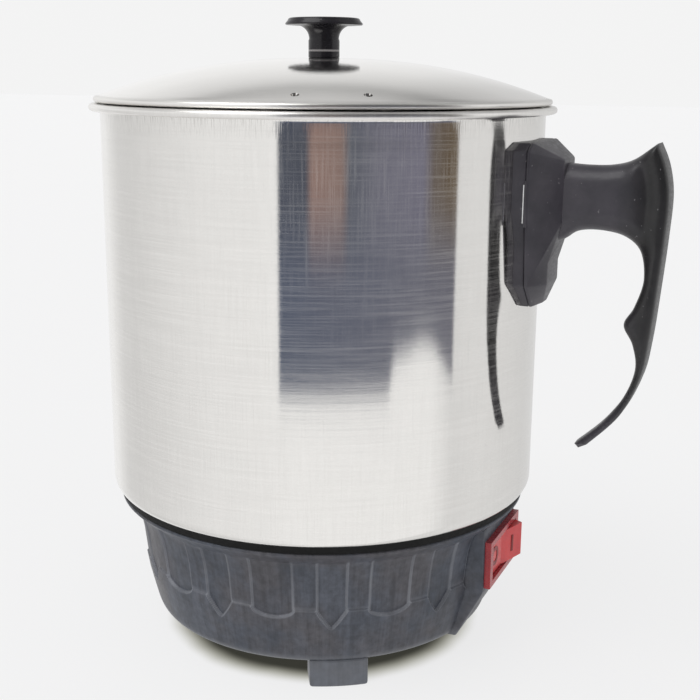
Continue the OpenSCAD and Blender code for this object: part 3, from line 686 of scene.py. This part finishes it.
def make_lid():
    """Domed sheet with a folded edge, a skirt that drops into the pot, and two vents pierced near the edge."""
    steps = 40
    over = [(DOME_RADIUS - 0.9) * k / steps for k in range(steps + 1)]
    below = [(SKIRT_RADIUS - LID_SHEET) * k / steps for k in range(steps + 1)]
    dome = [(r, dome_height(r)) for r in over]
    under = [(r, dome_height(r) - LID_SHEET) for r in below]
    edge_x = LID_RADIUS - 0.9
    edge = [(DOME_RADIUS - 0.2, LID_EDGE + 0.02), (edge_x - 0.1, LID_EDGE - 0.1)]
    edge += arc(edge_x, LID_BOTTOM + 0.9, 0.89, 80, -80, 12)
    edge += [(SKIRT_RADIUS + 0.4, LID_BOTTOM), (SKIRT_RADIUS, LID_BOTTOM - 0.4),
             (SKIRT_RADIUS, SKIRT_BOTTOM + 0.2), (SKIRT_RADIUS - 0.4, SKIRT_BOTTOM),
             (SKIRT_RADIUS - LID_SHEET, SKIRT_BOTTOM + 0.2)]
    lid = turned("lid_dome", dome + edge + under[::-1], 320)
    for degrees in VENT_ANGLES:
        a = math.radians(degrees)
        bm = bmesh.new()
        bmesh.ops.create_cone(bm, cap_ends=True, segments=32, radius1=VENT_RADIUS, radius2=VENT_RADIUS, depth=12)
        bmesh.ops.translate(bm, verts=bm.verts,
                            vec=(VENT_RING * math.cos(a), VENT_RING * math.sin(a), dome_height(VENT_RING) + 1))
        cut(lid, finish_mesh(bm, "tool"))
    dress(lid, "lid_steel", ["lid_shell"], "lid")


def make_knob():
    """Flat disc on a narrow neck, with its rounded fillet and the bevelled edge of the disc."""
    foot = knob_low.z
    profile = [(0, foot), (KNOB_NECK - 0.3, foot)]
    profile += arc(KNOB_NECK - 0.3, foot + 0.3, 0.3, -90, 0, 3)
    profile += [(KNOB_NECK, foot + 3.0), (KNOB_NECK, KNOB_DISC - 4.4)]
    profile += arc(KNOB_NECK + 3.9, KNOB_DISC - 3.8, 4.1, 180, 102, 12)
    profile += [(KNOB_RADIUS - 0.8, KNOB_DISC + 0.35)]
    profile += arc(KNOB_RADIUS - 0.35, KNOB_DISC + 0.7, 0.33, -80, 30, 4)
    profile += [(KNOB_RADIUS - 0.75, KNOB_DISC + 1.7)]
    profile += arc(KNOB_RADIUS - 1.7, KNOB_DISC + 1.6, 0.9, 15, 80, 5)
    profile += [(KNOB_RADIUS * 0.5, knob_high.z - 0.1), (0, knob_high.z)]
    knob = turned("knob", profile, 128)
    dress(knob, "knob_plastic", ["lid_knob"], "lid")


# ---------------- base

BASE_OUTLINE = [(67.6, BASE_TOP), (67.6, BASE_TOP - 0.8), (66.2, 46.6), (64.4, 45), (63.3, 43), (62.4, 40),
                (61.6, 36), (60.8, 29), (59.6, 22), (57.9, 15), (56.9, 11.2), (55.9, 9.2), (54.4, 8.2),
                (53, BASE_FLOOR)]
WALL_STEPS = 1080
MOUTH_RADIUS = 62.0

# The row of panels around the base. Widths and places are in degrees, heights and depths in millimetres.
FLUTE_STEP = 34.2
FLUTE_FIRST = 28.5
ROUND_PANEL = 12.8
POINTED_PANEL = 9.0
FLUTE_TOP = 45.2
FLAT_BOTTOM = 27.6
ROUND_BOTTOM = 24.6
POINTED_BOTTOM = 21.2
PANEL_DEPTH = 1.0
FLAT_DEPTH = 0.55
SIDE_LEDGE = 0.45
LEDGE = 0.6
TOP_FADE = 1.6


def smooth_step(value, low, high):
    """Rises smoothly from 0 to 1 while the value goes from low to high."""
    t = max(0.0, min(1.0, (value - low) / (high - low)))
    return t * t * (3 - 2 * t)


def panel_depth(offset, width):
    """Depth of a panel at an offset from its middle, with a ledge along its sides."""
    return max(FLAT_DEPTH, PANEL_DEPTH * (1 - smooth_step(offset, width / 2 - SIDE_LEDGE, width / 2)))


def flute_depth(angle, height):
    """How far the wall is set back at a place: panels with round and pointed feet, and narrow flats between."""
    degrees = abs(math.degrees(math.atan2(math.sin(angle), math.cos(angle))))
    from_pointed = abs((degrees - FLUTE_FIRST + FLUTE_STEP / 2) % FLUTE_STEP - FLUTE_STEP / 2)
    from_round = abs(from_pointed - FLUTE_STEP / 2)
    bottom = FLAT_BOTTOM
    depth = FLAT_DEPTH
    if from_pointed < POINTED_PANEL / 2:
        across = from_pointed / (POINTED_PANEL / 2)
        bottom = POINTED_BOTTOM + (FLAT_BOTTOM - POINTED_BOTTOM) * across ** 1.3
        depth = panel_depth(from_pointed, POINTED_PANEL)
    elif from_round < ROUND_PANEL / 2:
        across = from_round / (ROUND_PANEL / 2)
        bottom = FLAT_BOTTOM - (FLAT_BOTTOM - ROUND_BOTTOM) * math.sqrt(1 - across ** 2)
        depth = panel_depth(from_round, ROUND_PANEL)
    inside = smooth_step(height, bottom - LEDGE / 2, bottom + LEDGE / 2)
    under_lip = 1 - smooth_step(height, FLUTE_TOP - TOP_FADE, FLUTE_TOP)
    return depth * inside * under_lip


def outline_radius(height):
    """Radius of the base's plain wall at a height."""
    for (r0, z0), (r1, z1) in zip(BASE_OUTLINE, BASE_OUTLINE[1:]):
        if z1 <= height <= z0 and z0 > z1:
            return r1 + (r0 - r1) * (height - z1) / (z0 - z1)
    return BASE_OUTLINE[-1][0]


def panel_heights():
    """Heights of the mesh's rings over the panels: fine at their top and lower edges, coarse between."""
    heights = []
    z = FLUTE_TOP
    while z > POINTED_BOTTOM - 2:
        heights.append(z)
        if z > FLUTE_TOP - 2:
            z -= 0.4
        elif z > FLAT_BOTTOM + 1:
            z -= 1.0
        else:
            z -= 0.22
    return heights


def make_base():
    """The moulded wall and floor, with the switch and inlet openings cut through."""
    smooth = curve(BASE_OUTLINE[2:-1], 4)
    heights = panel_heights()
    wall = [(outline_radius(h), h) for h in heights]
    lower = [p for p in smooth if p[1] < heights[-1] - 0.3] + [BASE_OUTLINE[-2]]
    top = [(BASE_OUTLINE[0][0] - 0.3, BASE_TOP), (BASE_OUTLINE[0][0], BASE_TOP - 0.3), BASE_OUTLINE[1],
           (67.1, 47.3), (66.2, 46.6), (65.3, 45.7)]
    outside = top + wall + lower + [BASE_OUTLINE[-1]]
    inside = [(p[0] - BASE_WALL, p[1]) for p in BASE_OUTLINE if 10.5 < p[1] < 44]
    profile = [(0, BASE_FLOOR)] + outside[::-1] + [(MOUTH_RADIUS, BASE_TOP), (MOUTH_RADIUS, BASE_TOP - 1)] + inside
    profile += [(53 - BASE_WALL, BASE_FLOOR + BASE_WALL), (0, BASE_FLOOR + BASE_WALL)]

    def fluted(radius, angle, height):
        outer = radius > outline_radius(height) - 0.6 and height > POINTED_BOTTOM - 1.5
        return (radius - flute_depth(angle, height), height) if outer else (radius, height)

    base = turned("base_wall", profile, WALL_STEPS, fluted)
    cut(base, switch_opening(WALL_OPENING), inlet_opening(), inlet_recess())
    # Marks the relief's edges, where a highlight is painted
    mark_painted_highlights(base)
    dress(base, "base_plastic", ["base_shell"])


# How far up and round the relief's edges the painted highlight reaches
HIGHLIGHT_REACH = 0.4
HIGHLIGHT_TURN = math.radians(0.35)


def mark_painted_highlights(base):
    """Stores how strongly each point lies on an edge of the relief, where a highlight is painted into the
    plastic's colour.
    """
    painted_highlight = base.data.attributes.new(PAINTED_HIGHLIGHT, "FLOAT", "POINT")
    for vertex, value in zip(base.data.vertices, painted_highlight.data):
        x, y, z = vertex.co / MM
        angle = math.atan2(y, x)
        rise = flute_depth(angle, z + HIGHLIGHT_REACH) - flute_depth(angle, z - HIGHLIGHT_REACH)
        side = flute_depth(angle + HIGHLIGHT_TURN, z) - flute_depth(angle - HIGHLIGHT_TURN, z)
        value.value = min(1.0, max(0.0, rise) * 0.6 + abs(side) * 1.6)


def switch_opening(half):
    """The tool for the hole that the switch's box passes through."""
    return box_tool((TOOL_NEAR, -half, SWITCH_HEIGHT - SWITCH_OPENING_HALF),
                    (TOOL_FAR, half, SWITCH_HEIGHT + SWITCH_OPENING_HALF))


def inlet_opening():
    """The tool for the hole that the inlet's body passes through."""
    half, reach = INLET_OPENING_HALVES
    return box_tool((-TOOL_FAR, -half, INLET_HEIGHT - reach), (-TOOL_NEAR, half, INLET_HEIGHT + reach))


def inlet_recess():
    """The tool for the recess in the wall that the inlet's flange lies in."""
    return box_tool((-TOOL_FAR, -RECESS_HALF, inlet_low.z - 1), (-INLET_FACE, RECESS_HALF, inlet_high.z + 1))


def make_inlet_wall():
    """The flat wall behind the inlet's flange, filled out to the base's round wall."""
    rim = [(r - 1.3, z) for r, z in BASE_OUTLINE if 9.5 < z < 46]
    core = turned("inlet_wall", [(0, 46)] + rim + [(0, rim[-1][1])], 360)
    reach = RECESS_HALF + BASE_WALL
    block = box_tool((-TOOL_FAR, -reach, 9), (-INLET_FACE + BASE_WALL, reach, inlet_high.z + 1 + BASE_WALL))
    combine(core, block, "INTERSECT")
    cut(core, inlet_recess(), inlet_opening())
    dress(core, "base_plastic")


def make_switch_pod():
    """The pod that holds the switch: an upright face over a lower half that slopes back to the floor."""
    low = bezel_low.z - 1.2
    outline = [(50, BASE_FLOOR), (54.8, BASE_FLOOR), (POD_FACE, low), (POD_FACE, POD_TOP - 1.3),
               (POD_FACE - 1.6, POD_TOP), (50, POD_TOP)]
    bm = prism(outline, -POD_HALF, POD_HALF, along_y)
    bevel_sharp(bm, 0.6, 3)
    pod = finish_mesh(bm, "switch_pod")
    cut(pod, switch_opening(POD_OPENING))
    dress(pod, "base_plastic")


def make_feet():
    """Three short feet whose outer sides follow the base."""
    half = FOOT_WIDTH / 2
    spread = math.degrees(math.asin(half / FOOT_RADIUS))
    outline = [(46, half), (46, -half)] + arc(0, 0, FOOT_RADIUS, -spread, spread, 10)
    for count in range(3):
        bm = prism(outline, 0, BASE_FLOOR + 1, upward)
        bevel_sharp(bm, 0.8, 3, 40)
        bmesh.ops.rotate(bm, verts=bm.verts, matrix=Matrix.Rotation(math.radians(60 + 120 * count), 3, "Z"))
        dress(finish_mesh(bm, f"foot_{count + 1}"), "base_plastic")


def make_gasket():
    """Dark seal in the gap between the pot and the base."""
    corner = POT_RADIUS - POT_CORNER
    top = arc(corner, POT_FLOOR + POT_CORNER, POT_CORNER + 0.02, -50, -90, 8)
    profile = [(59, gasket_low.z), (67.3, gasket_low.z), (67.6, gasket_low.z + 0.15), (67.75, gasket_low.z + 0.5)]
    profile += top + [(59, POT_FLOOR - 0.02)]
    dress(turned("gasket", profile, 256, closed=True), "seal_rubber", ["base_gasket"])


# ---------------- handle

SEAT_HALF = [(14, 164.4), (18, 162.2), (18, 145), (15.5, 135.5), (15.5, 123), (8, 115.5)]
ARM_TOP = [(74, 158.6), (79, 158.3), (86, 157.9), (93, 158.2), (99, 160), (105.7, 164.8)]
HOOK_OUTSIDE = [(105.7, 164.8), (108.4, 158.5), (109.9, 150), (109.5, 138), (108.5, 124), (107, 107),
                (105, 95.5), (99.5, 83.3), (89.6, 72.4)]
HOOK_TIP = [(87.6, 71.6), (86.4, 72.8)]
HOOK_INSIDE = [(86.4, 72.8), (94.4, 80.6), (100.5, 89.5), (103.4, 98.5), (102.2, 106), (99.3, 111.8),
               (102, 117.3), (104.2, 125.5), (102.6, 133.2), (98, 137.4), (91, 138.9), (84, 138.4),
               (79.5, 135.6), (74, 134)]
ARM_FOOT = (74, 134)

# How widely each edge of the arm and hook is rounded, and the valley that runs inside the outer crest
ARM_ROUND = 6.1
HOOK_ROUND = 3.0
CREST_ROUND = 2.3
VALLEY_PLACE = 6.2
VALLEY_WIDTH = 1.9
VALLEY_DEPTH = 0.9
THINNEST = 0.3
TIP_TAPER = 0.62

# Distances in from the edge of the rings of mesh points, and the spacing of the grid inside them
EDGE_BANDS = (0.2, 0.5, 0.9, 1.4, 2.0)
GRID_MARGIN = 2.2
GRID_SPACING = 0.8


def seat_outline():
    """The seat's whole outline in Y and Z, from its given half."""
    return SEAT_HALF + [(-y, z) for y, z in reversed(SEAT_HALF)]


def distance_to(point, path):
    """Distance from a point to a run of points."""
    best = 1e9
    for a, b in zip(path, path[1:]):
        a, b = Vector(a), Vector(b)
        along = b - a
        t = max(0.0, min(1.0, (point - a).dot(along) / max(along.length_squared, 1e-12)))
        best = min(best, (point - a - along * t).length)
    return best


def inside_outline(point, outline):
    """True where a point lies inside a closed outline."""
    x, z = point
    inside = False
    for (x0, z0), (x1, z1) in zip(outline, outline[1:] + outline[:1]):
        if (z0 > z) != (z1 > z) and x < x0 + (z - z0) * (x1 - x0) / (z1 - z0):
            inside = not inside
    return inside


def edge_drop(distance, radius):
    """How far a surface has dropped at a distance in from an edge rounded by the radius."""
    left = radius - max(0.0, min(radius, distance))
    return radius - math.sqrt(radius ** 2 - left ** 2)


def hook_thickness(outer, top, inner):
    """A function for half the thickness of the arm and hook at a point, from the runs of its three edges."""
    def half_thickness(point):
        x, z = point
        to_outer = distance_to(point, outer)
        top_radius = CREST_ROUND + (ARM_ROUND - CREST_ROUND) * (1 - smooth_step(x, 96, 104))
        inner_radius = HOOK_ROUND + (ARM_ROUND - HOOK_ROUND) * smooth_step(z, 126, 137)
        drop = max(edge_drop(to_outer, CREST_ROUND), edge_drop(distance_to(point, top), top_radius),
                   edge_drop(distance_to(point, inner), inner_radius))
        bowl = math.exp(-((to_outer - VALLEY_PLACE) / VALLEY_WIDTH) ** 2)
        valley = VALLEY_DEPTH * bowl * smooth_step(z, 128, 148)
        taper = TIP_TAPER + (1 - TIP_TAPER) * smooth_step(z, 72, 110)
        return max(THINNEST, HANDLE_THICK / 2 - drop - valley) * taper

    return half_thickness


def inner_points(outline):
    """Points inside an outline: rings that follow its edge closely, then a grid."""
    closed = outline + outline[:1]
    border = len(outline)

    def clear_by(point, margin):
        return inside_outline(point, outline) and distance_to(point, closed) > margin

    points = []
    for band in EDGE_BANDS:
        for k in range(border):
            a, b, c = Vector(outline[k - 1]), Vector(outline[k]), Vector(outline[(k + 1) % border])
            along = (c - a).normalized()
            for side in (Vector((-along.y, along.x)), Vector((along.y, -along.x))):
                candidate = b + side * band
                if clear_by(candidate, band * 0.9):
                    points.append(candidate)
    x = min(p[0] for p in outline)
    while x < max(p[0] for p in outline):
        z = min(p[1] for p in outline)
        while z < max(p[1] for p in outline):
            candidate = Vector((x, z))
            if clear_by(candidate, GRID_MARGIN):
                points.append(candidate)
            z += GRID_SPACING
        x += GRID_SPACING
    return points


def make_hook():
    """Arm and hook: a plate, well rounded along the arm, with a shallow valley before its outer crest."""
    top = curve(ARM_TOP, 6)
    outer = curve(HOOK_OUTSIDE, 10)
    inner = curve(HOOK_INSIDE, 10)
    outline = top + outer + HOOK_TIP + inner[1:] + [ARM_FOOT]
    half_thickness = hook_thickness(outer + HOOK_TIP[:1], top + outer[:1], HOOK_TIP + inner + [ARM_FOOT])
    border = len(outline)
    edges = [(k, (k + 1) % border) for k in range(border)]
    points = [Vector(p) for p in outline] + inner_points(outline)
    verts, _, faces, *_ = delaunay_2d_cdt(points, edges, [], 1, 1e-5)
    bm = bmesh.new()
    near = []
    back = []
    for p in verts:
        t = half_thickness(p)
        near.append(bm.verts.new((p.x, -t, p.y)))
        back.append(bm.verts.new((p.x, t, p.y)))
    uses = {}
    for f in faces:
        bm.faces.new([near[i] for i in f])
        bm.faces.new([back[i] for i in reversed(f)])
        for a, b in zip(f, list(f[1:]) + [f[0]]):
            pair = frozenset((a, b))
            uses[pair] = uses.get(pair, 0) + 1
    for pair, count in uses.items():
        if count == 1:
            a, b = tuple(pair)
            bm.faces.new([near[a], near[b], back[b], back[a]])
    return finish_mesh(bm, "hook", math.radians(50))


def corners(xs, half, zs):
    """The eight corners of a box that is as wide to both sides of the handle's middle plane."""
    return [(x, y, z) for x in xs for y in (-half, half) for z in zs]


def make_handle():
    """Front half of the handle: a faceted block against the seat, which carries the arm and the hook."""
    plate = [(x, y, z) for y, z in seat_outline() for x in (SEAM, SEAM + 0.8)]
    arm = HANDLE_THICK / 2
    upper = hull(plate + corners((79, 80), arm, (141, 159.5)))
    bevel_sharp(upper, 0.9, 4, 12)
    lower = hull(plate + corners((75.4, 76.4), arm, (122.5, 140)) + corners((73.4, 74.4), 2, (116, 117)))
    bevel_sharp(lower, 0.7, 3, 12)
    handle = finish_mesh(upper, "handle_grip", math.radians(30))
    combine(handle, finish_mesh(lower, "tool"), "UNION")
    combine(handle, make_hook(), "UNION")
    dress(handle, "handle_plastic", ["handle"])


def make_seam_lips():
    """Two lips of the front half that cover the outer part of the strap's edges in the seam."""
    for name, side in (("seam_lip_near", -1), ("seam_lip_far", 1)):
        ends = sorted((side * 17.0, side * 18.15))
        bm = box_mesh((SEAM - 0.33, ends[0], 140.6), (SEAM + 0.6, ends[1], 154.0))
        bevel_sharp(bm, 0.12, 2)
        dress(finish_mesh(bm, name), "handle_plastic")


def make_seat():
    """Rear half of the handle, hollowed to sit on the pot."""
    bm = prism(seat_outline(), 64, SEAM - 0.05, along_x)
    bevel_sharp(bm, 0.45, 3)
    seat = finish_mesh(bm, "seat")
    reach = POT_RADIUS + 0.03
    cut(seat, turned("tool", [(0, 100), (reach, 100), (reach, 180), (0, 180)], 512))
    dress(seat, "handle_plastic", ["handle_seat"])


# ---------------- switch and inlet

ROCKER_TILT = math.radians(10)
PIVOT = Vector((60.8, 0, SWITCH_HEIGHT))

# The rocker's two faces stand this far from its pivot in the middle and at the ends
ROCKER_VALLEY = 3.4
ROCKER_CREST = 5.0
ROCKER_HALF = 11.8
MARK_PLACE = 6.3
MARK_HEIGHT = 0.22
MARK_SUNK = 0.06
RING_RADII = (3.2, 1.9)
BAR_HALVES = (0.6, 2.8)

# How widely the edges of the CAD nodes that show are softened
SOFT_EDGES = {"switch_housing": 0.35, "rocker": 0.45, "inlet_housing": 0.4, "base_nut": 0.2}


def rounded(obj, width):
    """Softens the edges of a CAD node with modifiers, its own mesh left as it is."""
    weld = obj.modifiers.new("weld", "WELD")
    weld.merge_threshold = 0.00001
    bevel = obj.modifiers.new("bevel", "BEVEL")
    bevel.width = width * MM
    bevel.segments = 2
    bevel.limit_method = "ANGLE"
    bevel.angle_limit = math.radians(40)


def ring_mesh():
    """A flat ring that faces +X."""
    bm = bmesh.new()
    outer, inner = (arc(0, 0, radius, 0, 360, 40)[:-1] for radius in RING_RADII)
    rows = [[bm.verts.new((x, u, v)) for u, v in path]
            for x, path in ((0, outer), (MARK_HEIGHT, outer), (MARK_HEIGHT, inner), (0, inner))]
    for low, high in zip(rows, rows[1:] + rows[:1]):
        band(bm, low, high)
    return bm


def bar_mesh():
    """A flat upright bar that faces +X."""
    wide, high = BAR_HALVES
    bm = box_mesh((0, -wide, -high), (MARK_HEIGHT, wide, high))
    bevel_sharp(bm, 0.08, 2)
    return bm


def make_marks():
    """A ring for off and a bar for on, standing slightly out of the rocker's two halves."""
    slope = (ROCKER_CREST - ROCKER_VALLEY) / ROCKER_HALF
    for name, side, bm in (("mark_off", -1, ring_mesh()), ("mark_on", 1, bar_mesh())):
        mark = finish_mesh(bm, name)
        out = ROCKER_VALLEY + slope * MARK_PLACE - MARK_SUNK
        lift = Matrix.Translation(Vector((out, side * MARK_PLACE, 0)) * MM)
        slant = Matrix.Rotation(-side * math.atan(slope), 4, "Z")
        tilt = Matrix.Translation(PIVOT * MM) @ Matrix.Rotation(-ROCKER_TILT, 4, "Z")
        mark.data.transform(tilt @ lift @ slant)
        dress(mark, "mark_red", (), "rocker")


def finish_cad_nodes():
    """Gives every CAD node its material, and soft edges to those that show."""
    slots = {part["node"]: part["material_slot"] for part in frame["record"]["subparts"]}
    for name, obj in frame["nodes"].items():
        obj.data.materials.clear()
        obj.data.materials.append(MATERIALS[slots[name]])
    for name, width in SOFT_EDGES.items():
        rounded(frame["nodes"][name], width)


# ---------------- studio

BACKDROP = 0.90
FLOOR_SIZE = 12.0
FLOOR_GLOW = 0.774
FLOOR_COLOUR = (0.125, 0.125, 0.126)
# Painted shadow on the floor under the base: its radii, its dark colour, and its weaker, tinted glow
SHADOW_PAINT_FROM = 44 * MM
SHADOW_PAINT_TO = 55 * MM
PAINTED_SHADOW_COLOUR = (0.044, 0.044, 0.034, 1)
PAINTED_SHADOW_GLOW = (1.0, 0.99, 0.80, 1)
PAINTED_SHADOW_STRENGTH = 0.035


def make_floor():
    """A pale table that glows a little, so its shadows stay faint, with a painted shadow: a dark zone painted
    where the base shades it.
    """
    s = Shader("floor")
    cloth = s.noise(260, 3, 0.6)
    _, radius, _ = s.around()
    uneven = s.plus(radius, s.span(s.noise(40, 2, 0.5), 0.3, 0.7, -0.0006, 0.0006))
    # Painted shadow: inside these radii the floor is coloured dark and glows less
    clear = s.span(uneven, SHADOW_PAINT_FROM, SHADOW_PAINT_TO, interpolation_type="SMOOTHSTEP")
    glow = s.span(clear, 0.0, 1.0, PAINTED_SHADOW_STRENGTH, FLOOR_GLOW)
    pale = s.drift(s.noise(4, 2, 0.5), grey(0.985, FLOOR_COLOUR), FLOOR_COLOUR)
    s.set(Base_Color=s.mix(clear, PAINTED_SHADOW_COLOUR, pale),
          Roughness=0.9, Specular_IOR_Level=0.1, Normal=s.bump(cloth, 0.0004, 0.12),
          Emission_Color=s.mix(clear, PAINTED_SHADOW_GLOW, (1, 1, 1.004, 1)), Emission_Strength=glow)
    bm = bmesh.new()
    bmesh.ops.create_grid(bm, x_segments=2, y_segments=2, size=FLOOR_SIZE / 2 / MM)
    floor = finish_mesh(bm, "floor")
    floor.data.materials.append(s.material)
    floor.visible_glossy = False


CARD_RADIUS = 0.41
CARD_HEIGHT = 1.4
CARD_FROM = -85.4
CARD_TO = -1.6
CARD_TOP_BAND = 151 * MM
CARD_STRIPES = ((-85.4, (0.085, 0.095, 0.125)), (-73.0, (0.082, 0.090, 0.118)), (-70.5, (0.300, 0.200, 0.175)),
                (-57.5, (0.270, 0.190, 0.170)), (-54.0, (0.120, 0.130, 0.160)), (-40.0, (0.170, 0.170, 0.215)),
                (-20.0, (0.180, 0.175, 0.230)), (-14.5, (0.145, 0.120, 0.105)), (-5.0, (0.135, 0.100, 0.066)),
                (-1.6, (0.190, 0.155, 0.120)))


def make_card():
    """The dark part of the room: a curved wall with brown stripes, which only the steel reflects."""
    s = Shader("card")
    parts = s.split(s.place)
    azimuth = s.times(s.maths("ARCTAN2", parts["Y"], parts["X"]), math.degrees(1))
    height = parts["Z"]
    across = s.span(azimuth, -90, 0)
    stripes = s.ramp(across, *[((a + 90) / 90, c) for a, c in CARD_STRIPES])
    plain = s.ramp(across, (0.0, (0.10, 0.118, 0.170)), (1.0, (0.16, 0.16, 0.195)))
    lower = s.mix(s.span(height, 115 * MM, 70 * MM), stripes, plain)
    top = s.mix(s.span(height, CARD_TOP_BAND, CARD_TOP_BAND + 0.003, 0.0, 0.8), lower, (0.055, 0.058, 0.056, 1))
    s.set(Base_Color=(0.0, 0.0, 0.0, 1), Specular_IOR_Level=0.0, Roughness=1.0, Emission_Color=top,
          Emission_Strength=1.0)
    bm = bmesh.new()
    steps = 48
    columns = []
    for k in range(steps + 1):
        a = math.radians(CARD_FROM + (CARD_TO - CARD_FROM) * k / steps)
        foot = card_foot(math.degrees(a))
        columns.append([bm.verts.new((CARD_RADIUS * math.cos(a), CARD_RADIUS * math.sin(a), z))
                        for z in (foot, CARD_HEIGHT)])
    for left, right in zip(columns, columns[1:]):
        bm.faces.new([left[0], right[0], right[1], left[1]])
    mesh = bpy.data.meshes.new("card")
    bm.to_mesh(mesh)
    bm.free()
    card = add_object("card", mesh)
    card.data.materials.append(s.material)
    for ray in ("camera", "diffuse", "shadow", "transmission"):
        setattr(card, f"visible_{ray}", False)


CARD_FEET = ((-90, 0.000), (-35, 0.000), (-33.9, 0.014), (-32, 0.021), (-25, 0.025), (-20, 0.030), (-13, 0.027),
             (-2, 0.006), (0, 0.006))


def card_foot(azimuth):
    """Height of the card's lower edge, which stands clear of the table at some places."""
    for (a0, z0), (a1, z1) in zip(CARD_FEET, CARD_FEET[1:]):
        if a0 <= azimuth <= a1:
            return z0 + (z1 - z0) * (azimuth - a0) / (a1 - a0)
    return 0.0


TABLE_SHADES = ((-180, 0.70), (-163, 0.745), (-142, 0.81), (-123, 0.865), (-100, 0.885), (-78, 0.93), (-8, 0.92),
                (6, 0.75), (17, 0.77), (27, 0.775), (45, 0.74), (70, 0.69), (100, 0.72), (125, 0.88), (148, 0.90),
                (158, 0.81), (167, 0.72), (180, 0.70))
WALL_SHADES = ((-180, 1.0), (-90, 1.0), (-50, 1.1), (-15, 1.3), (20, 1.1), (50, 0.78), (88, 0.66), (101, 0.72),
               (107, 0.92), (114, 1.0), (180, 1.0))
HEIGHT_SHADES = ((0.0, 0.93), (0.17, 0.93), (0.34, 0.90), (0.46, 0.80), (0.53, 0.69), (0.585, 0.45), (0.63, 0.54),
                 (0.68, 0.64), (0.80, 0.50), (1.0, 0.50))


def shades(room, value, low, high, stops):
    """A grey ramp over a value that runs from low to high, between its first and last stops."""
    first, last = stops[0][0], stops[-1][0]
    return room.ramp(room.span(value, low, high),
                     *[((place - first) / (last - first), grey(shade)) for place, shade in stops])


def make_room():
    """Soft light from a pale room that darkens towards its ceiling and its right side, and a plain backdrop."""
    world = bpy.data.worlds.new("room")
    world.use_nodes = True
    room = Nodes(world.node_tree)
    parts = room.split(room.node("ShaderNodeTexCoord").outputs["Generated"])
    azimuth = room.maths("ARCTAN2", parts["Y"], parts["X"])
    table = shades(room, azimuth, -math.pi, math.pi, TABLE_SHADES)
    side = shades(room, azimuth, -math.pi, math.pi, WALL_SHADES)
    height = shades(room, parts["Z"], 0.0, 1.0, HEIGHT_SHADES)
    walls = room.mix(1.0, height, side, "MULTIPLY")
    rising = room.span(parts["Z"], 0.0, 0.1)
    seen = room.node("ShaderNodeLightPath").outputs["Is Camera Ray"]
    colour = room.mix(seen, room.mix(rising, table, walls), (*grey(BACKDROP), 1))
    room.join(colour, room.tree.nodes["Background"].inputs["Color"])
    bpy.context.scene.world = world
    bpy.context.scene.view_settings.view_transform = "Standard"


SUN_STRENGTH = 1.15
SUN_SOFTNESS = math.radians(42)
SUN_FROM = Vector((-0.35, -0.50, 1.0))


def make_sun():
    """A soft light from the upper left, which draws highlights on the plastic."""
    data = bpy.data.lights.new("sun", "SUN")
    data.energy = SUN_STRENGTH
    data.angle = SUN_SOFTNESS
    light = add_object("sun", data)
    light.rotation_mode = "QUATERNION"
    light.rotation_quaternion = SUN_FROM.to_track_quat("Z", "Y")


# ---------------- build

make_camera()
finish_cad_nodes()
make_pot()
make_lid()
make_knob()
make_base()
make_inlet_wall()
make_switch_pod()
make_feet()
make_gasket()
make_handle()
make_seam_lips()
make_seat()
make_marks()
make_floor()
make_card()
make_room()
make_sun()
